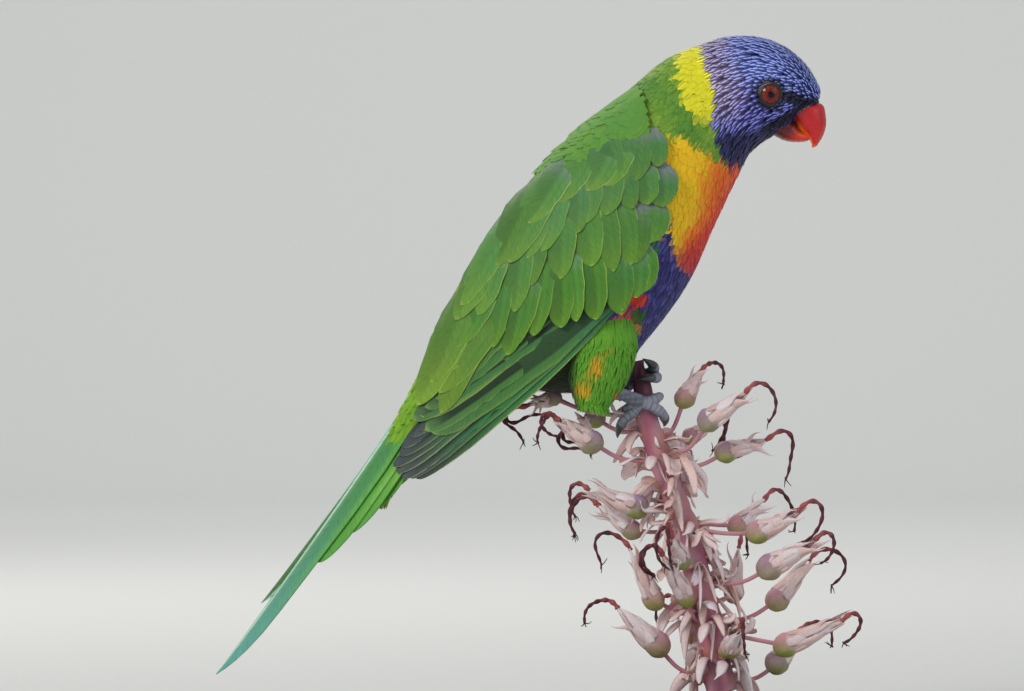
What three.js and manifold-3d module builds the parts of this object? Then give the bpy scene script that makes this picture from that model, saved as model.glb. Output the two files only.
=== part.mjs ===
// A rainbow lorikeet at life size, gripping a cut length of flower stem on a small display stand.
// Units are millimetres. +X is the way the bird faces, +Y is its left side and +Z is up.
// The origin is the centre of the underside of the round base.

import * as THREE from "three";
import { mergeVertices } from "three/addons/utils/BufferGeometryUtils.js";
import Module from "manifold-3d";

const wasm = await Module();
wasm.setup();

// Driving sizes
const GAP = 0.3; // space cut between neighbouring pieces; a few rims of toes, thighs and tail still touch
const FINEST = 0.04; // detail smaller than this is dropped
const BASE = { radius: 62, height: 10, round: 1.5 };
const ROD_RADIUS = 2.5;
const STEM_FOOT = 16.5; // height of the cut lower end of the stem
const EYE = { x: 50.4, z: 225.7, radius: 5.2, opening: 3.5, bulge: 0.4 };
const LID = { ring: 4.25, thickness: 1.05, sunk: 0.25 };
const NOSTRIL = { x: 68.4, y: 2.6, z: 221.4, radius: 0.75 };
const SHANK = { radii: [2.3, 2.2, 2.2, 2.6], sides: 7, arch: 0.6 };
const TOE = { radius: 2.1, radii: [2.3, 2.2, 2.0, 2.1, 1.9, 1.7], points: 6, sides: 6 };
const CLAW = { radii: [1.5, 1.3, 0.9, 0.3], from: 1.03, to: 1.42, points: 5, sides: 6 };

// How finely the larger forms are divided.
const FACETS = {
  body: { sides: 24, rings: 28 },
  wing: { sides: 18, rings: 14 },
  tailRoot: { sides: 14, rings: 10 },
  thigh: { sides: 14, rings: 10 },
  billUpper: { sides: 12, rings: 12 },
  billLower: { sides: 12, rings: 9 },
  eye: { sides: 12, rings: 8 },
  nostril: { sides: 8, rings: 6 },
  lid: { around: 12, across: 5 },
  base: 44,
  rod: 16,
};

// Body outline from the rump to the forehead.
// Each row is [back x, back z, front x, front z, half width].
const BODY = [
  [-68.2, 137.5, -58.4, 129.2, 6],
  [-59.5, 157.1, -35.0, 123.2, 15],
  [-46.5, 177.8, -8.8, 123.5, 23],
  [-31.5, 197.8, 8.0, 141.0, 28],
  [-12.2, 215.9, 22.0, 160.3, 28],
  [3.1, 229.2, 31.1, 180.2, 24],
  [14.3, 238.3, 38.5, 195.6, 19],
  [25.5, 243.2, 43.8, 205.8, 16],
  [37.4, 246.6, 50.8, 211.2, 16],
  [51.4, 245.2, 56.3, 214.2, 14.2],
  [62.3, 238.0, 61.9, 219.4, 9.6],
  [67.9, 229.2, 66.8, 221.2, 5.5],
  [68.6, 225.4, 68.2, 222.2, 3],
];

// Outer surface of the two folded wings together, from the shoulders to the wing tips.
const WINGS = [
  [8.8, 235.2, 36.0, 188.3, 23.5],
  [-4.9, 224.7, 28.3, 168.7, 29],
  [-23.1, 209.3, 16.8, 150.1, 31.6],
  [-41.6, 191.1, 3.8, 128.1, 29],
  [-55.6, 168.7, -17.5, 114.1, 23.5],
  [-67.2, 147.3, -42.0, 103.6, 16.5],
  [-77.7, 122.8, -63.0, 91.3, 11.5],
  [-84.0, 108.8, -71.8, 84.3, 10],
];

const COLOURS = {
  head: "#4a50a8",
  neck: "#a3a52c",
  torso: "#c8542a",
  wing: "#4c9440",
  tail: "#4c9a68",
  thigh: "#5a9a28",
  foot: "#767c88",
  claw: "#2c2c30",
  bill: "#c42a26",
  billUnder: "#8e2428",
  eye: "#6a2418",
  stem: "#b06478",
  base: "#5a3a24",
  rod: "#b08c46",
};

const UP = new THREE.Vector3(0, 0, 1);
const LEFT = new THREE.Vector3(0, 1, 0);
const toRadians = THREE.MathUtils.degToRad;
const { lerp, clamp, smoothstep } = THREE.MathUtils;

// Solids

// Turns a closed geometry into a solid with its faces pointing out.
function solidOf(geometry) {
  const bare = geometry.clone();
  bare.deleteAttribute("normal");
  bare.deleteAttribute("uv");
  const merged = mergeVertices(bare, 1e-4);
  const points = Float32Array.from(merged.attributes.position.array);
  const corners = Uint32Array.from(merged.index.array);
  if (signedVolume(points, corners) < 0) {
    for (let i = 0; i < corners.length; i += 3) {
      [corners[i], corners[i + 1]] = [corners[i + 1], corners[i]];
    }
  }
  return new wasm.Manifold(new wasm.Mesh({ numProp: 3, vertProperties: points, triVerts: corners }));
}

function signedVolume(points, corners) {
  const [a, b, c] = [new THREE.Vector3(), new THREE.Vector3(), new THREE.Vector3()];
  let sum = 0;
  for (let i = 0; i < corners.length; i += 3) {
    a.fromArray(points, corners[i] * 3);
    b.fromArray(points, corners[i + 1] * 3);
    c.fromArray(points, corners[i + 2] * 3);
    sum += a.dot(b.cross(c));
  }
  return sum / 6;
}

// The largest closed surface of a solid, without crumbs or sealed pockets.
function largest(solid) {
  const pieces = solid.decompose();
  return pieces.reduce((best, piece) => (piece.volume() > best.volume() ? piece : best));
}

function joined(solids) {
  return solids.reduce((whole, solid) => whole.add(solid));
}

function mirrored(solid) {
  return solid.mirror([0, 1, 0]);
}

function meshOf(name, solid, colour, roughness = 0.7, metalness = 0) {
  const { vertProperties, triVerts } = largest(solid.simplify(FINEST)).getMesh();
  const geometry = new THREE.BufferGeometry();
  geometry.setAttribute("position", new THREE.BufferAttribute(Float32Array.from(vertProperties), 3));
  geometry.setIndex(new THREE.BufferAttribute(Uint32Array.from(triVerts), 1));
  geometry.computeVertexNormals();
  const material = new THREE.MeshStandardMaterial({ color: colour, roughness, metalness });
  const mesh = new THREE.Mesh(geometry, material);
  mesh.name = name;
  return mesh;
}

// A closed skin over rings of points. `at(t, angle)` gives a ring point, and `cap(t)` the middle of an end.
function skin(sides, rings, at, cap) {
  const geometry = new THREE.SphereGeometry(1, sides, rings);
  const points = geometry.attributes.position;
  for (let i = 0; i < points.count; i += 1) {
    const ring = Math.floor(i / (sides + 1));
    const t = clamp((ring - 1) / (rings - 2), 0, 1);
    const angle = (2 * Math.PI * (i % (sides + 1) % sides)) / sides;
    const isCap = ring === 0 || ring === rings;
    const point = isCap ? cap(t) : at(t, angle);
    points.setXYZ(i, point.x, point.y, point.z);
  }
  return solidOf(geometry);
}

// Smooth values between the rows of a table, with t from 0 at the first row to 1 at the last.
function rowAt(rows, t) {
  const place = clamp(t, 0, 1) * (rows.length - 1);
  const i = Math.min(Math.floor(place), rows.length - 2);
  const f = place - i;
  const [a, b, c, d] = [-1, 0, 1, 2].map((k) => rows[clamp(i + k, 0, rows.length - 1)]);
  return b.map((value, k) => {
    const bend = 2 * a[k] - 5 * value + 4 * c[k] - d[k];
    const curl = -a[k] + 3 * value - 3 * c[k] + d[k];
    return 0.5 * (2 * value + (c[k] - a[k]) * f + bend * f * f + curl * f * f * f);
  });
}

// A section of a form that lies on the middle plane, with `grow` added all round.
function sectionAt(rows, t, grow) {
  const [backX, backZ, frontX, frontZ, half] = rowAt(rows, t);
  const back = new THREE.Vector3(backX, 0, backZ);
  const front = new THREE.Vector3(frontX, 0, frontZ);
  const out = back.clone().sub(front).normalize().multiplyScalar(grow);
  return { back: back.add(out), front: front.sub(out), half: half + grow };
}

// A form on the middle plane, with oval sections; `squareness` above 2 makes the sides fuller.
function form(rows, { sides = 24, rings = 24, grow = 0, squareness = 2, ends = grow } = {}) {
  const middle = (t) => {
    const { back, front } = sectionAt(rows, t, grow);
    return back.add(front).multiplyScalar(0.5);
  };
  const along = (t) => {
    const direction = middle(Math.min(t + 0.02, 1)).sub(middle(Math.max(t - 0.02, 0))).normalize();
    const push = t === 0 ? -ends : t === 1 ? ends : 0;
    return direction.multiplyScalar(push);
  };
  const power = (value) => Math.sign(value) * Math.abs(value) ** (2 / squareness);
  const at = (t, angle) => {
    const { back, front, half } = sectionAt(rows, t, grow);
    const reach = 0.5 + 0.5 * power(Math.cos(angle));
    const point = front.clone().lerp(back, reach);
    point.y = half * power(Math.sin(angle));
    return point.add(along(t));
  };
  return skin(sides, rings, at, (t) => middle(t).add(along(t)));
}

// A tube along a smooth path. `rings` lists [place along, radius], and `aside` is a way the path never runs.
function tube(path, rings, aside, { sides = 8, grow = 0 } = {}) {
  const curve = new THREE.CatmullRomCurve3(path, false, "centripetal");
  const at = (t, angle) => {
    const [along, radius] = rings[Math.round(t * (rings.length - 1))];
    const ahead = curve.getTangentAt(along);
    const one = ahead.clone().cross(aside).normalize();
    const two = ahead.clone().cross(one);
    return curve
      .getPointAt(along)
      .addScaledVector(one, (radius + grow) * Math.cos(angle))
      .addScaledVector(two, (radius + grow) * Math.sin(angle));
  };
  return skin(sides, rings.length + 1, at, (t) => curve.getPointAt(t));
}

// Radii spaced evenly along a tube.
function evenly(radii) {
  return radii.map((radius, i) => [i / (radii.length - 1), radius]);
}

function ball(centre, radius, { sides, rings }) {
  return solidOf(new THREE.SphereGeometry(radius, sides, rings)).translate(centre);
}

// A slab over an outline in the side view, between two depths.
function sideSlab(outline, fromY, toY) {
  const shape = new THREE.Shape(outline.map(([x, z]) => new THREE.Vector2(x, z)));
  const geometry = new THREE.ExtrudeGeometry(shape, { depth: toY - fromY, bevelEnabled: false });
  geometry.rotateX(Math.PI / 2);
  geometry.translate(0, toY, 0);
  return solidOf(geometry);
}

// A level plane turned about Y, through two points of the side view: [normal, offset].
function planeThrough([x0, z0], [x1, z1]) {
  const normal = new THREE.Vector3(z0 - z1, 0, x1 - x0).normalize();
  return [normal.toArray(), normal.x * x0 + normal.z * z0];
}

function opposite([normal, offset], gap) {
  return [normal.map((value) => -value), -offset + gap];
}

// Body, neck and head

const HEAD_CUT = planeThrough([27.0, 243.6], [38.5, 202.0]);
const NECK_CUT = planeThrough([8.75, 234.2], [38.5, 196.4]);
const RUMP_CUT = planeThrough([-64.8, 146.6], [-47.2, 125.3]);

function bodyForm(grow = 0) {
  return form(BODY, { ...FACETS.body, grow });
}

function torso() {
  const whole = bodyForm().trimByPlane(...opposite(NECK_CUT, GAP)).trimByPlane(...RUMP_CUT);
  return whole.subtract(foot("left", GAP)).subtract(foot("right", GAP));
}

function neck() {
  return bodyForm().trimByPlane(...NECK_CUT).trimByPlane(...opposite(HEAD_CUT, GAP));
}

// The point of a form's side, and the way it faces, at a place in the side view.
function sideOf(rows, x, z, squareness = 2) {
  const depth = (px, pz) => sideDepth(rows, px, pz, squareness);
  const step = 0.4;
  const slopeX = (depth(x + step, z) - depth(x - step, z)) / (2 * step);
  const slopeZ = (depth(x, z + step) - depth(x, z - step)) / (2 * step);
  const normal = new THREE.Vector3(-slopeX, 1, -slopeZ).normalize();
  return { point: new THREE.Vector3(x, depth(x, z), z), normal };
}

// How far a form's side stands from the middle plane at a place in the side view.
function sideDepth(rows, x, z, squareness) {
  const STEPS = 48;
  const offLine = (t) => {
    const [backX, backZ, frontX, frontZ] = rowAt(rows, t);
    return (x - frontX) * (backZ - frontZ) - (z - frontZ) * (backX - frontX);
  };
  let before = offLine(0);
  let t = before < 0 ? 0 : 1;
  for (let i = 1; i <= STEPS; i += 1) {
    const here = offLine(i / STEPS);
    if (before < 0 !== here < 0) {
      t = (i - here / (here - before)) / STEPS;
      break;
    }
    before = here;
  }
  const [backX, backZ, frontX, frontZ, half] = rowAt(rows, t);
  const [spanX, spanZ] = [backX - frontX, backZ - frontZ];
  const reach = ((x - frontX) * spanX + (z - frontZ) * spanZ) / (spanX ** 2 + spanZ ** 2);
  const side = Math.abs(2 * clamp(reach, 0.05, 0.95) - 1);
  return half * (1 - side ** squareness) ** (1 / squareness);
}

// Middle of the right or left eyeball, set back so that only its front shows in the lids.
function eyeCentre(side) {
  const { point, normal } = sideOf(BODY, EYE.x, EYE.z);
  const setBack = Math.sqrt(EYE.radius ** 2 - EYE.opening ** 2) - EYE.bulge;
  const centre = point.addScaledVector(normal, -setBack);
  return { centre: new THREE.Vector3(centre.x, side * centre.y, centre.z), normal, setBack };
}

function lidRing(side) {
  const { centre, normal, setBack } = eyeCentre(1);
  const ring = new THREE.TorusGeometry(LID.ring, LID.thickness, FACETS.lid.across, FACETS.lid.around);
  ring.applyQuaternion(new THREE.Quaternion().setFromUnitVectors(new THREE.Vector3(0, 0, 1), normal));
  const place = centre.clone().addScaledVector(normal, setBack - LID.sunk);
  ring.translate(place.x, place.y, place.z);
  const solid = solidOf(ring);
  return side > 0 ? solid : mirrored(solid);
}

function eyeball(side, grow = 0) {
  return ball(eyeCentre(side).centre.toArray(), EYE.radius + grow, FACETS.eye);
}

// The dark hood, with the rings of bare skin round the eyes.
function head() {
  const skull = bodyForm().trimByPlane(...HEAD_CUT);
  return joined([skull, lidRing(1), lidRing(-1)])
    .subtract(eyeball(1, GAP))
    .subtract(eyeball(-1, GAP))
    .subtract(billUpper(GAP))
    .subtract(billLower(GAP));
}

// Bill

const BILL_SQUARENESS = 2.2;
const BILL_UPPER = [
  [64.0, 224.0, 56.5, 219.6, 6.2],
  [68.9, 222.6, 59.0, 216.8, 6.2],
  [70.1, 218.5, 60.8, 213.8, 5.6],
  [70.1, 215.0, 63.0, 212.0, 4.5],
  [69.2, 212.0, 64.6, 210.2, 3.2],
  [67.9, 209.6, 65.4, 208.8, 1.8],
  [67.2, 208.1, 65.4, 207.5, 1.2],
];

const BILL_LOWER = [
  [56.5, 218.0, 50.5, 213.0, 5.2],
  [59.6, 216.4, 54.6, 210.6, 5.2],
  [61.6, 213.6, 58.4, 209.6, 4.5],
  [63.2, 211.6, 61.6, 209.4, 3.2],
  [64.0, 210.6, 63.2, 209.7, 1.6],
];

function billUpper(grow = 0) {
  return form(BILL_UPPER, { ...FACETS.billUpper, grow, squareness: BILL_SQUARENESS });
}

function billLower(grow = 0) {
  return form(BILL_LOWER, { ...FACETS.billLower, grow, squareness: BILL_SQUARENESS });
}

function nostrils() {
  const { x, y, z, radius } = NOSTRIL;
  return [-1, 1].map((side) => ball([x, side * y, z], radius, FACETS.nostril));
}

// Feathers

// A thin closed blade from its root to a point. `at(along, across, face)` gives a point of it, with `along`
// from 0 to 1, `across` from -1 to 1 and `face` +1 on the outer face and -1 on the inner. Both faces are
// split alike.
function blade(stations, columns, at) {
  const rows = stations.length;
  const width = columns.length;
  const points = [];
  for (const face of [1, -1]) {
    for (const along of stations) points.push(...columns.map((across) => at(along, across, face)));
  }
  points.push(at(1, 0, 0));
  const tip = points.length - 1;
  const index = (face, row, column) => (face > 0 ? 0 : rows * width) + row * width + column;
  const triangles = [];
  const quad = (p, q, r, s) => triangles.push([p, q, r], [p, r, s]);
  for (let column = 0; column < width - 1; column += 1) {
    for (let row = 0; row < rows - 1; row += 1) {
      const corners = [[row, column], [row, column + 1], [row + 1, column + 1], [row + 1, column]];
      const [p, q, r, s] = corners.map((corner) => index(1, ...corner));
      quad(p, q, r, s);
      const [u, v, w, x] = corners.map((corner) => index(-1, ...corner));
      triangles.push([u, w, v], [u, x, w]);
    }
    triangles.push([index(1, rows - 1, column), index(1, rows - 1, column + 1), tip]);
    triangles.push([index(-1, rows - 1, column + 1), index(-1, rows - 1, column), tip]);
    quad(index(1, 0, column + 1), index(1, 0, column), index(-1, 0, column), index(-1, 0, column + 1));
  }
  for (let row = 0; row < rows - 1; row += 1) {
    quad(index(1, row, 0), index(1, row + 1, 0), index(-1, row + 1, 0), index(-1, row, 0));
    const last = width - 1;
    quad(index(1, row + 1, last), index(1, row, last), index(-1, row, last), index(-1, row + 1, last));
  }
  triangles.push([index(1, rows - 1, 0), tip, index(-1, rows - 1, 0)]);
  triangles.push([tip, index(1, rows - 1, width - 1), index(-1, rows - 1, width - 1)]);
  const geometry = new THREE.BufferGeometry().setFromPoints(points);
  geometry.setIndex(triangles.flat());
  return solidOf(geometry);
}

// How the half width of a feather changes from root to tip.
const BLADES = {
  long: { stations: [0, 0.3, 0.72, 0.92], widths: [0.45, 0.9, 1, 0.66], columns: [-1, 0, 1] },
  pointed: { stations: [0, 0.3, 0.83, 0.94], widths: [0.6, 1, 0.67, 0.38], columns: [-1, 0, 1] },
  short: { stations: [0, 0.55, 0.88], widths: [0.8, 1, 0.72], columns: [-1, 1] },
};
const FEATHER = { thickness: 0.6, ridge: 0.25 };

function widthOf({ stations, widths }, along) {
  const i = stations.indexOf(along);
  return i < 0 ? 0 : widths[i];
}

// Wings

const WING_SQUARENESS = 2.3;
const WING = {
  thickness: 3,
  sunk: 0.9, // depth of the wing's own surface under its feathers
  middle: 1.2, // distance kept from the middle plane
  deepest: 40,
  rootDepth: 2.2, // how far the root of a feather dips
  outerEnd: 6,
  innerEnd: 8,
};

// The part of the wing that the feathers grow from, in the side view.
const WING_EDGE = [
  [5.2, 218.0],
  [-8.8, 217.5],
  [-22.8, 207.6],
  [-36.8, 194.6],
  [-47.2, 178.0],
  [-54.0, 163.0],
  [-55.0, 150.0],
  [-48.0, 139.0],
  [-30.0, 135.5],
  [-17.5, 140.5],
  [-6.8, 144.4],
  [5.2, 160.5],
  [11.8, 172.5],
  [12.6, 184.1],
  [11.2, 196.3],
  [9.2, 210.3],
];

// Tiers of feathers, from the longest and lowest to the shortest. Each lies from a line of roots to a line of
// tips in the side view; `lift` is its height over the wing's outer surface.
const WING_TIERS = [
  {
    blade: BLADES.long,
    count: 7,
    width: 8.5,
    lift: -0.9,
    tilt: 0.5,
    roots: [[2.4, 157.1], [-8.8, 154.3], [-17.5, 154.3]],
    tips: [[-72.5, 91.4], [-78.8, 92.4], [-80.6, 98.0], [-76.5, 104.0], [-72.0, 110.0]],
  },
  {
    blade: BLADES.long,
    count: 5,
    width: 12,
    lift: -0.1,
    tilt: 0.45,
    roots: [[-8.2, 154.3], [-22.8, 157.8], [-36.8, 159.6]],
    tips: [[-72.6, 113.5], [-67.5, 117.5], [-63.2, 124.1], [-60.0, 131.2]],
  },
  {
    blade: BLADES.short,
    count: 7,
    width: 10.5,
    lift: 0.3,
    tilt: 0.4,
    roots: [[4.2, 173.3], [-8.8, 177.1], [-22.8, 178.8], [-33.2, 177.1], [-43.8, 171.8]],
    tips: [[4.0, 156.5], [-6.8, 143.6], [-17.5, 138.6], [-32.7, 138.9], [-43.0, 137.9], [-56.3, 138.5]],
  },
  {
    blade: BLADES.short,
    count: 6,
    width: 11,
    lift: 0.7,
    tilt: 0.35,
    roots: [[7.8, 190.6], [-1.8, 194.8], [-14.0, 198.3], [-22.8, 198.1], [-33.2, 191.1], [-42.0, 180.6]],
    tips: [[9.5, 174.3], [2.2, 168.0], [-6.3, 165.3], [-17.5, 165.6], [-28.0, 161.4], [-38.8, 153.3],
      [-53.0, 147.6]],
  },
  {
    blade: BLADES.short,
    count: 5,
    width: 11,
    lift: 0.9,
    tilt: 0.3,
    roots: [[8.5, 203.8], [-2.8, 206.3], [-13.0, 206.3], [-23.7, 203.6], [-31.5, 196.1]],
    tips: [[11.2, 188.6], [4.0, 185.1], [-8.5, 183.1], [-21.2, 179.1], [-33.0, 172.6], [-46.8, 163.0]],
  },
  {
    blade: BLADES.short,
    count: 4,
    width: 11,
    lift: 1.1,
    tilt: 0.2,
    roots: [[0.8, 214.6], [-12.2, 211.1], [-24.8, 203.8]],
    tips: [[-8.8, 197.1], [-24.2, 187.3], [-40.8, 173.1], [-54.2, 158.8], [-63.1, 147.3]],
  },
];

// A point of a line of side-view points, with t from 0 at its start to 1 at its end.
function linePoint(line, t) {
  return new THREE.Vector2(...rowAt(line, t));
}

// One feather of the left wing, laid on the wing's outer surface, with its root sunk into it.
function wingFeather(tier, t) {
  const root = linePoint(tier.roots, t);
  const tip = linePoint(tier.tips, t);
  const run = tip.clone().sub(root).normalize();
  const aside = new THREE.Vector2(run.y, -run.x);
  return blade(tier.blade.stations, tier.blade.columns, (along, across, face) => {
    const half = (tier.width / 2) * widthOf(tier.blade, along);
    const place = root.clone().lerp(tip, along).addScaledVector(aside, half * across);
    const { point, normal } = sideOf(WINGS, place.x, place.y, WING_SQUARENESS);
    const ridge = across === 0 && along < 1 ? FEATHER.ridge : 0;
    const sink = WING.rootDepth * (1 - smoothstep(along, 0, 0.5));
    const crest = face > 0 ? ridge : 0;
    const rise = tier.lift - sink - tier.tilt * across + face * (FEATHER.thickness / 2) + crest;
    return point.addScaledVector(normal, rise);
  });
}

// The left wing's body: a shell that lies over the bird's side.
function wingCore() {
  const size = { ...FACETS.wing, squareness: WING_SQUARENESS };
  const outer = form(WINGS, { ...size, grow: -WING.sunk, ends: WING.outerEnd });
  const inner = form(WINGS, { ...size, grow: -WING.sunk - WING.thickness, ends: WING.innerEnd });
  return outer.subtract(inner).intersect(sideSlab(WING_EDGE, 0, WING.deepest));
}

function wing() {
  const feathers = WING_TIERS.flatMap((tier) => {
    return Array.from({ length: tier.count }, (_, i) => wingFeather(tier, i / (tier.count - 1)));
  });
  return joined([wingCore(), ...feathers])
    .trimByPlane([0, 1, 0], WING.middle)
    .subtract(bodyForm(GAP))
    .subtract(thigh(GAP))
    .subtract(tail(GAP));
}

// Tail

// The tail's root, with the coverts that hide the bases of its feathers.
const TAIL_ROOT = [
  [-58.0, 150.0, -50.0, 128.0, 11],
  [-65.0, 141.0, -55.0, 121.0, 10.5],
  [-73.5, 125.6, -62.0, 108.0, 8.6],
  [-81.5, 110.0, -71.0, 97.0, 6.0],
  [-86.0, 101.0, -79.0, 91.0, 3.0],
];
const TAIL = {
  top: [-63.0, 139.0],
  tips: [[-143.1, 23.4], [-127.6, 48.5], [-108.0, 63.0], [-97.5, 73.5], [-89.5, 82.0], [-82.5, 90.0]],
  widths: [10, 8, 10, 10, 9.5, 9],
  sag: 0.7, // how far the ridge hangs inside the straight line from root to tip
  roll: 50, // how far each feather hangs from level, in degrees
  ridgeGap: 0.3, // distance of the upper edges from the middle plane
  tuck: 0.5, // how far each pair lies inside the one before it
  drop: 0.9,
};

// The tail's axis in the side view, from the root to the tip of the middle pair.
function tailAxis() {
  const root = new THREE.Vector3(TAIL.top[0], 0, TAIL.top[1]);
  const tip = new THREE.Vector3(TAIL.tips[0][0], 0, TAIL.tips[0][1]);
  const run = tip.clone().sub(root).normalize();
  return { root, run, under: new THREE.Vector3(-run.z, 0, run.x), length: root.distanceTo(tip) };
}

// How far a side-view point lies below the tail's ridge.
function belowRidge({ root, run, under, length }, point) {
  const from = point.clone().sub(root);
  const along = clamp(from.dot(run) / length, 0, 1);
  return from.dot(under) - TAIL.sag * 4 * along * (1 - along);
}

// One tail feather: pair 0 is the longest, on the ridge, and each next pair is tucked inside the one before.
function tailFeather(pair, side, grow) {
  const axis = tailAxis();
  const tip = new THREE.Vector3(TAIL.tips[pair][0], 0, TAIL.tips[pair][1]);
  const out = new THREE.Vector3(0, side, 0);
  const [cos, sin] = [Math.cos(toRadians(TAIL.roll)), Math.sin(toRadians(TAIL.roll))];
  const acrossWay = out.clone().multiplyScalar(cos).addScaledVector(axis.under, sin);
  const faceWay = out.clone().multiplyScalar(sin).addScaledVector(axis.under, -cos);
  const shape = pair <= 1 ? BLADES.pointed : BLADES.long;
  return blade(shape.stations, shape.columns, (along, across, face) => {
    const half = (TAIL.widths[pair] / 2) * widthOf(shape, along);
    const ridge = across === 0 && along < 1 && face > 0 ? FEATHER.ridge : 0;
    const sag = TAIL.sag * 4 * along * (1 - along);
    const hang = half * sin * (pair <= 1 ? 1 : 1 - along) + sag + TAIL.drop * pair * (1 - along);
    const middle = axis.root.clone().lerp(tip, along).addScaledVector(axis.under, hang);
    const spread = TAIL.ridgeGap + (Math.max(belowRidge(axis, middle), 0) * cos) / sin;
    return middle
      .addScaledVector(out, spread)
      .addScaledVector(acrossWay, (half + grow) * across)
      .addScaledVector(faceWay, face * (FEATHER.thickness / 2 + grow) + ridge - TAIL.tuck * pair);
  });
}

function tail(grow = 0) {
  const feathers = TAIL.tips.flatMap((_, pair) => [1, -1].map((side) => tailFeather(pair, side, grow)));
  const root = form(TAIL_ROOT, { ...FACETS.tailRoot, grow });
  return joined([root, ...feathers]).subtract(bodyForm(grow > 0 ? 0 : GAP).trimByPlane(...RUMP_CUT));
}

// Legs

const THIGH_Y = 16; // distance of each thigh's middle from the middle plane
const THIGH = [
  [-17.0, 150.0, 3.0, 150.0, 7.0],
  [-20.0, 136.0, 4.0, 137.5, 7.0],
  [-19.6, 126.0, 0.5, 126.0, 6.2],
  [-17.5, 119.0, -6.0, 116.8, 4.2],
];

function thigh(grow = 0) {
  return form(THIGH, { ...FACETS.thigh, grow }).translate([0, THIGH_Y, 0]);
}

// Stem axis from the cut top to the cut foot: [x, y, z, radius].
const STEM = [
  [4.2, 0, 133, 3.1],
  [5.6, 0, 126.3, 3.2],
  [7.3, 0, 115.8, 3.4],
  [10.5, 0, 103.6, 3.7],
  [16.4, 0, 87.8, 4.0],
  [22.8, 0, 68.6, 4.3],
  [27.6, 0, 49.3, 4.6],
  [31.1, 0, 31.8, 4.9],
  [34.4, 0, 13.0, 5.1],
];

// Middle and radius of the stem at a height.
function stemAt(z) {
  const i = STEM.findIndex((row) => row[2] <= z);
  const [upper, lower] = [STEM[Math.max(i, 1) - 1], STEM[Math.max(i, 1)]];
  const f = (upper[2] - z) / (upper[2] - lower[2]);
  return { x: lerp(upper[0], lower[0], f), radius: lerp(upper[3], lower[3], f) };
}

// A point beside the stem: its angle (0 ahead, 90 left, -90 right), its height and how far off the skin.
function besideStem(angle, z, off) {
  const { x, radius } = stemAt(z);
  const reach = radius + off;
  return new THREE.Vector3(x + reach * Math.cos(toRadians(angle)), reach * Math.sin(toRadians(angle)), z);
}

// Each toe runs round the stem from the palm: [turn in degrees, drop, distance off the stem at its end].
const FEET = {
  right: {
    palm: [-100, 118.6],
    ankle: new THREE.Vector3(-7.5, -15.5, 122.5),
    toes: [
      [95, -5.5, 2.4],
      [80, 2.0, 2.4],
      [-62, -8.0, 7.0],
      [-55, -2.5, 4.0],
    ],
  },
  left: {
    palm: [100, 127.5],
    ankle: new THREE.Vector3(-7.5, 15.5, 123.5),
    toes: [
      [-150, -0.5, 2.4],
      [-120, 4.0, 2.4],
      [50, -5.5, 4.5],
      [80, -4.5, 3.0],
    ],
  },
};

// Path of one toe and then its claw, as points from the palm outwards.
function toePath(foot, [turn, drop, off], from, to, count) {
  const [angle, height] = foot.palm;
  const near = TOE.radius + GAP;
  return Array.from({ length: count }, (_, i) => {
    const t = lerp(from, to, i / (count - 1));
    const away = near + (off - near) * smoothstep(t, 0.3, 1) + Math.max(off - near, 0) * Math.max(t - 1, 0);
    return besideStem(angle + turn * t, height + drop * t ** 1.3, away);
  });
}

function foot(side, grow = 0) {
  const shape = FEET[side];
  const palm = toePath(shape, shape.toes[0], 0, 0.001, 2)[0];
  const bend = shape.ankle.clone().lerp(palm, 0.5).addScaledVector(UP, SHANK.arch);
  const shank = tube([shape.ankle, bend, palm], evenly(SHANK.radii), UP, { sides: SHANK.sides, grow });
  const toes = shape.toes.map((toe) => {
    return tube(toePath(shape, toe, 0, 1, TOE.points), evenly(TOE.radii), UP, { sides: TOE.sides, grow });
  });
  return joined([shank, ...toes]);
}

function claw(side, index, grow = 0) {
  const path = toePath(FEET[side], FEET[side].toes[index], CLAW.from, CLAW.to, CLAW.points);
  const horn = tube(path, evenly(CLAW.radii), UP, { sides: CLAW.sides, grow });
  return grow > 0 ? horn : horn.subtract(foot(side, GAP));
}

// All that grips the stem, with the clear space kept round it.
function grip() {
  const sides = Object.keys(FEET);
  const clawsOf = (side) => FEET[side].toes.map((_, i) => claw(side, i, GAP));
  return joined(sides.flatMap((side) => [foot(side, GAP), ...clawsOf(side)]));
}

// Perch and stand

// Each flower hangs off the stem on a stalk, with a swollen pod and the dried flower beyond it:
// [stalk height, angle round the stem, pod distance, pod rise, pod radius, tip distance, tip rise].
const FLOWERS = [
  [98, 200, 26, 7, 4.2, 38, 14],
  [82, 195, 15, 0, 4.2, 32, 6],
  [74, 165, 19, 0, 3.5, 31, 8],
  [46, 205, 20, 4, 3.8, 29, 21],
  [42, 235, 14, 9, 3.8, 29, 24],
  [23, 190, 22, 11, 4.5, 35, 23],
  [100, -25, 19, 12, 4.2, 33, 22],
  [96, 8, 22, 5, 3.8, 36, 9],
  [102, 50, 19, 4, 3.1, 32, 9],
  [106, 22, 12, 14, 3.6, 18, 23],
  [74, -12, 26, -1, 4.2, 41, 7],
  [77, 35, 24, -2, 3.5, 37, 7],
  [55, -15, 25, 6, 4.5, 42, 16],
  [42, 20, 26, 7, 4.2, 39, 21],
  [38, -22, 28, -4, 4.2, 51, 6],
  [21, 12, 21, 6, 4.2, 28, 16],
  [49, 60, 22, 2, 3.5, 26, 17],
  [84, 80, 20, 6, 3.3, 27, 13],
  [60, -110, 16, 4, 3.6, 27, 12],
  [32, 110, 21, 5, 4.0, 34, 14],
  [30, -75, 17, 3, 3.8, 30, 11],
  [114, 170, 33, 6, 3.0, 41, 4],
  [108, 150, 22, 4.6, 3.0, 27, 3],
];
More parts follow.
